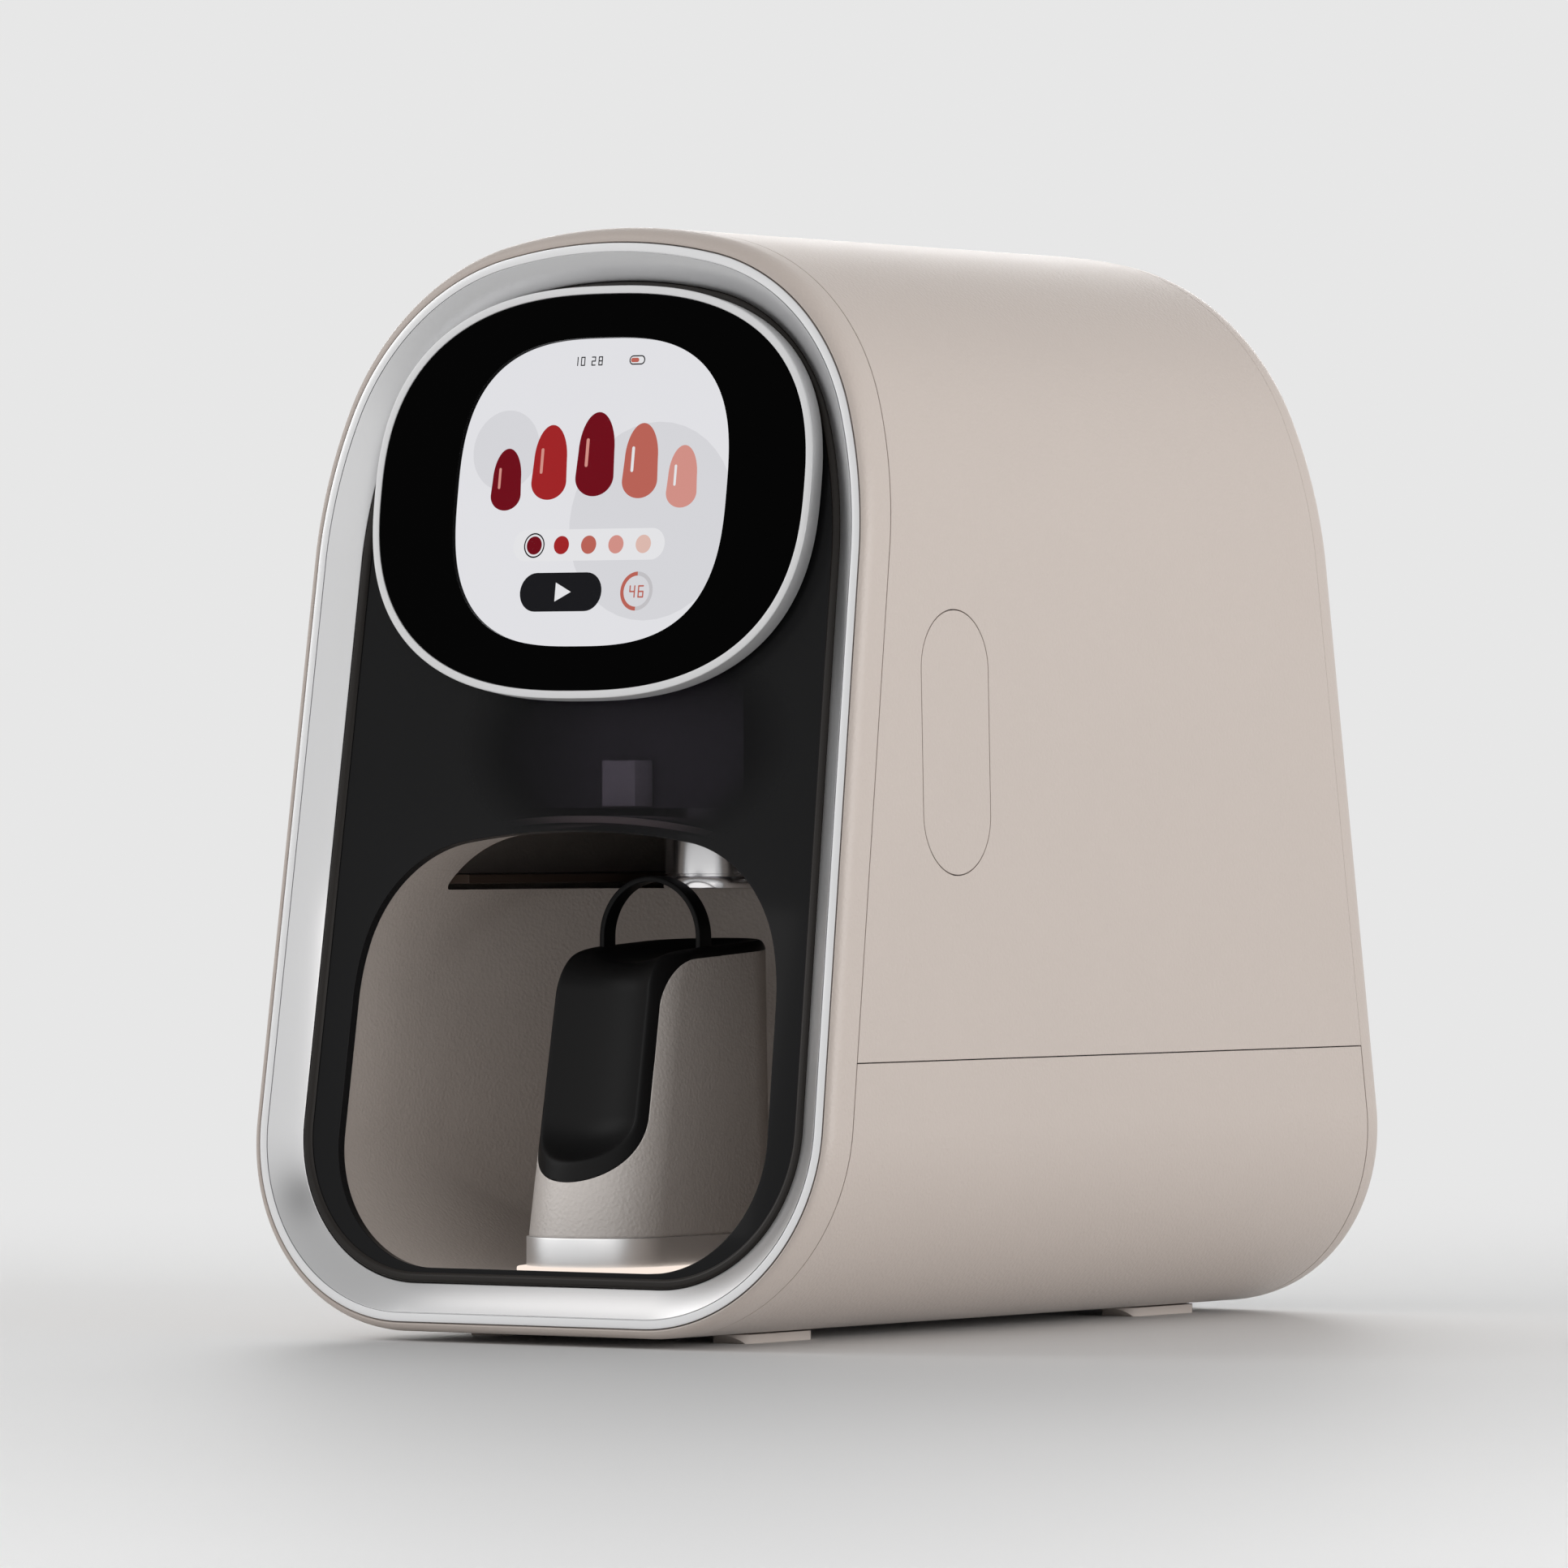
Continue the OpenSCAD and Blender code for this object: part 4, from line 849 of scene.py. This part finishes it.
def band(outset, z0, z1, r=0.3):
    """Straight band round the foot of the rest, with rounded edges."""
    yf, rad = rest_y(24) - rest_r(24), rest_r(24)
    sec = rounded([[outset, 0, z1, 0], [outset, 0, z0, 0], [-3, 0, z0, 0], [-3, 0, z1, 0]], r, 4)
    return rings([rest_loop(yf, p[2], rad, 0.0, -p[0]) for p in sec])


piece("rest_band", band(0.2, 20.0, RING_TOP, 0.25), "case", band_m, ("rest_ring",))
piece("rest_light", band(2.8, 18.5, 19.9, 0.5), "case", light_m, ("light_ring",))

# strap: flat band bent to an arch
S_R, S_T, S_Y0, S_Y1 = 16.7, 1.6, -85.85, -80.15
s_c = LINER_TOP + 4.0 - S_R
s_low = REST_TOP - 2.7
line = ([(S_R, s_low + (s_c - s_low) * i / 4) for i in range(4)]
        + [(S_R * math.cos(math.pi * i / 60), s_c + S_R * math.sin(math.pi * i / 60)) for i in range(61)]
        + [(-S_R, s_c + (s_low - s_c) * i / 4) for i in range(1, 5)])


def strap():
    """Round-edged strip section carried along the arch."""
    loops = []
    sec = rounded([[0, 0, S_Y0, 0], [0, 0, S_Y1, 0], [S_T, 0, S_Y1, 0], [S_T, 0, S_Y0, 0]], 0.5, 4)
    for i, (x, z) in enumerate(line):
        up = max(0.0, z - s_c)
        k = math.hypot(x, up) or 1
        ux, uz = (x / k, up / k) if up > 0 else (math.copysign(1, x), 0)
        loops.append([(x - ux * p[0], p[2], z - uz * p[0]) for p in sec])
    return rings(loops, close=False, cap=True)


piece("strap", strap(), "case", rubber, ("finger_strap",))


def turned(prof, cx, cy, m=96):
    """Profile (radius, height) turned round an upright axis."""
    return rings([[(cx + r * math.cos(2 * math.pi * i / m), cy + r * math.sin(2 * math.pi * i / m), z)
                   for i in range(m)] for r, z in prof])


BAR_R, COLLAR_R, BAR_Y = 14.6, 15.0, -53.0
b0, b1 = LINER_TOP + 0.5, LINER_TOP + 22.4 + 6
piece("barrel", turned([(4, b0), (COLLAR_R - 0.4, b0), (COLLAR_R - 0.1, b0 + 0.12), (COLLAR_R, b0 + 0.4),
                        (COLLAR_R, b0 + 3.0), (COLLAR_R - 0.1, b0 + 3.22), (COLLAR_R - 0.3, b0 + 3.3),
                        (BAR_R - 0.5, b0 + 3.3), (BAR_R - 0.5, b0 + 3.9), (BAR_R - 0.1, b0 + 3.9),
                        (BAR_R, b0 + 4.0), (BAR_R, b1), (4, b1)], 0, BAR_Y),
      "carriage", polished, ("print_barrel",))


# ---------- inner pieces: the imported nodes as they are, with materials and soft edges ----------
def dress(mat, names, bevel=0.0, angle=32):
    """Shows CAD nodes as they are, welded, with the edges bevelled or split by angle."""
    for name in names:
        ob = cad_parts[name]
        ob.data.materials.clear()
        ob.data.materials.append(mat)
        ob.modifiers.new("weld", "WELD").merge_threshold = 0.00001
        for p in ob.data.polygons:
            p.use_smooth = True
        if bevel:
            bevelled(ob, bevel, 2, angle)
            even = ob.modifiers.new("even", "WEIGHTED_NORMAL")
            even.weight, even.keep_sharp = 100, False
        else:
            ob.modifiers.new("split", "EDGE_SPLIT").split_angle = math.radians(angle)


dress(deck_m, ["chassis"], 0.2)
dress(gantry_m, ["y_gantry"], 0.3)
dress(steel, ["y_rod_l", "y_rod_r", "x_rod_f", "x_rod_r", "y_screw", "x_pulley", "x_idler", "cover_screws"])
dress(brass_m, ["y_nut"])
dress(motor_m, ["x_motor", "y_motor"], 0.5)
dress(frame_m, ["front_frame"], 0.25)
dress(black, ["back_cover", "x_carriage", "button_guide", "button_switch", "fan_frame", "fan_rotor",
              "power_inlet", "ink_cartridge"], 0.25)
dress(rubber, ["x_belt"])
dress(head_m, ["print_head"], 0.6)
dress(sensor_m, ["sensor_block"], 0.4)
dress(board_m, ["display_board", "main_board", "power_board"])
dress(foot_m, ["foot_fl", "foot_fr", "foot_rl", "foot_rr"], 0.5)

# ---------- stage ----------
# camera of the photograph, worked out from the outlines of the face and the side
CAM, LENS, SENSOR = Vector((1.7708, -2.5970, 0.1479)), 260.26, 36
HEADING, UPWARD = math.radians(34.51), math.radians(90.034)
BACKDROP = (0.80, 0.80, 0.80, 1)
ahead = Vector((-math.sin(HEADING), math.cos(HEADING), 0))
FLOOR_PAINTED_LIGHT = ((2.10, 1.0), (2.40, 0.85), (2.58, 0.81), (2.85, 0.71), (3.35, 0.65))  # (distance, tone): painted light and shade on the floor, lighter towards the camera and darker further off


def floor():
    """Pale floor that goes over into the backdrop, with painted light and shade: its colour is lighter
    towards the camera and darker further off.
    """
    s = 30
    me = bpy.data.meshes.new("floor")
    me.from_pydata([(-s, -s, 0), (s, -s, 0), (s, s, 0), (-s, s, 0)], [], [(0, 1, 2, 3)])
    ob = bpy.data.objects.new("floor", me)
    bpy.context.scene.collection.objects.link(ob)
    m, nt, out = material("floor")
    p = node(nt, "ShaderNodeBsdfPrincipled", Roughness=0.6, Specular_IOR_Level=0.2)
    co = node(nt, "ShaderNodeTexCoord")
    dot_ = node(nt, "ShaderNodeVectorMath", {"operation": "DOT_PRODUCT"})
    dot_.inputs[1].default_value = ahead
    nt.links.new(co.outputs["Object"], dot_.inputs[0])
    d0, (n0, n1) = ahead.dot(CAM), (FLOOR_PAINTED_LIGHT[0][0], FLOOR_PAINTED_LIGHT[-1][0])
    span = node(nt, "ShaderNodeMapRange", From_Min=d0 + n0, From_Max=d0 + n1)
    nt.links.new(dot_.outputs["Value"], span.inputs["Value"])
    # painted light and shade: the floor's colour follows the tones by distance along the camera's heading
    ramp = node(nt, "ShaderNodeValToRGB")
    ramp.color_ramp.interpolation = "B_SPLINE"
    for i, (d, painted_level) in enumerate(FLOOR_PAINTED_LIGHT):
        q = (d - n0) / (n1 - n0)
        e = ramp.color_ramp.elements[0] if i == 0 else ramp.color_ramp.elements.new(q) if 0 < q < 1 else (
            ramp.color_ramp.elements[-1])
        e.position, e.color = q, (painted_level, painted_level, painted_level, 1)
    nt.links.new(span.outputs["Result"], ramp.inputs["Fac"])
    nt.links.new(ramp.outputs["Color"], p.inputs["Base Color"])
    e = node(nt, "ShaderNodeEmission", Color=BACKDROP)
    # the backdrop: beyond the object as the photograph sees it, and far out all round
    behind = node(nt, "ShaderNodeMapRange", {"interpolation_type": "SMOOTHSTEP"},
                  From_Min=d0 + 3.35, From_Max=d0 + 4.30)
    nt.links.new(dot_.outputs["Value"], behind.inputs["Value"])
    away = node(nt, "ShaderNodeVectorMath", {"operation": "LENGTH"})
    nt.links.new(co.outputs["Object"], away.inputs[0])
    far = node(nt, "ShaderNodeMapRange", {"interpolation_type": "SMOOTHSTEP"}, From_Min=1.05, From_Max=1.9)
    nt.links.new(away.outputs["Value"], far.inputs["Value"])
    most = node(nt, "ShaderNodeMath", {"operation": "MAXIMUM"})
    nt.links.new(behind.outputs["Result"], most.inputs[0])
    nt.links.new(far.outputs["Result"], most.inputs[1])
    ms = node(nt, "ShaderNodeMixShader")
    nt.links.new(most.outputs[0], ms.inputs[0])
    nt.links.new(p.outputs[0], ms.inputs[1])
    nt.links.new(e.outputs[0], ms.inputs[2])
    nt.links.new(ms.outputs[0], out.inputs[0])
    me.materials.append(m)


floor()

# surroundings: brighter round the horizon than overhead, with one dark patch for the metal to mirror
world = bpy.data.worlds.new("world")
bpy.context.scene.world = world
world.use_nodes = True
wt = world.node_tree
way = node(wt, "ShaderNodeTexCoord")
parts = node(wt, "ShaderNodeSeparateXYZ")
wt.links.new(way.outputs["Generated"], parts.inputs[0])
rise_ = node(wt, "ShaderNodeMapRange", {"interpolation_type": "SMOOTHSTEP"}, From_Min=0.15, From_Max=0.95)
wt.links.new(parts.outputs["Z"], rise_.inputs["Value"])
sky = node(wt, "ShaderNodeMix", {"data_type": "RGBA"})
sky.inputs[6].default_value = BACKDROP
sky.inputs[7].default_value = (0.44, 0.44, 0.44, 1)
wt.links.new(rise_.outputs["Result"], sky.inputs[0])


def mirrored(x, z, slope, turn):
    """Direction that the metal mirrors at a point of the face, its surface tipped inwards by slope."""
    p = Vector((x, fy(z), z)) * MM
    inward = Vector((math.cos(turn), 0, 0)) + Vector((0, SL, CL)) * math.sin(turn)
    n = Vector((0, -CL, SL)) * math.cos(slope) + inward * math.sin(slope)
    v = (CAM - p).normalized()
    return (2 * n.dot(v) * n - v).normalized()


near = node(wt, "ShaderNodeVectorMath", {"operation": "DOT_PRODUCT"})
near.inputs[1].default_value = mirrored(-86, 34, math.radians(38.8), math.radians(26))
wt.links.new(way.outputs["Generated"], near.inputs[0])
patch = node(wt, "ShaderNodeMapRange", {"interpolation_type": "SMOOTHSTEP"},
             From_Min=math.cos(math.radians(13)), From_Max=math.cos(math.radians(4)))
wt.links.new(near.outputs["Value"], patch.inputs["Value"])
dim = node(wt, "ShaderNodeMix", {"data_type": "RGBA"})
dim.inputs[7].default_value = (0.10, 0.10, 0.10, 1)
wt.links.new(patch.outputs["Result"], dim.inputs[0])
wt.links.new(sky.outputs[2], dim.inputs[6])
seen = node(wt, "ShaderNodeLightPath")
mx = node(wt, "ShaderNodeMix", {"data_type": "RGBA"})
mx.inputs[7].default_value = BACKDROP
wt.links.new(seen.outputs["Is Camera Ray"], mx.inputs[0])
wt.links.new(dim.outputs[2], mx.inputs[6])
wt.links.new(mx.outputs[2], wt.nodes["Background"].inputs["Color"])


def area(name, loc, target, size, power, col=(1, 1, 1)):
    """Rectangular lamp that looks at a target."""
    lamp = bpy.data.lights.new(name, "AREA")
    lamp.shape = "RECTANGLE"
    lamp.size, lamp.size_y = size
    lamp.energy = power
    lamp.color = col
    ob = bpy.data.objects.new(name, lamp)
    ob.location = loc
    ob.rotation_euler = (Vector(target) - Vector(loc)).to_track_quat("-Z", "Y").to_euler()
    ob.visible_camera = False
    bpy.context.scene.collection.objects.link(ob)
    return ob


area("key_left", (-2.2, -1.2, 1.5), (0, 0, 0.15), (1.2, 1.6), 10)
area("right", (2.2, 0.2, 0.45), (0.1, 0, 0.12), (1.4, 0.8), 17)
area("back", (-1.8, 1.9, 1.7), (0, 0, 0.28), (2.4, 0.9), 25).visible_glossy = False
area("back_shine", (-1.6, 2.4, 0.9), (0, 0, 0.28), (2.4, 0.9), 22).visible_diffuse = False
area("hand_fill", (0.0, -0.150, 0.079), (0.005, 0.0, 0.076), (0.11, 0.09), 0.0255, (1, 0.97, 0.95))
area("head_fill", (0.004, -0.1085, 0.157), (0.004, -0.09, 0.155), (0.066, 0.03), 0.0056, (0.95, 0.93, 1))

cd = bpy.data.cameras.new("camera")
cd.sensor_width, cd.lens = SENSOR, LENS
cd.clip_end = 100
cam = bpy.data.objects.new("camera", cd)
cam.location = CAM
cam.rotation_euler = (UPWARD, 0, HEADING)
bpy.context.scene.collection.objects.link(cam)
bpy.context.scene.camera = cam
bpy.context.scene.view_settings.view_transform = "Standard"
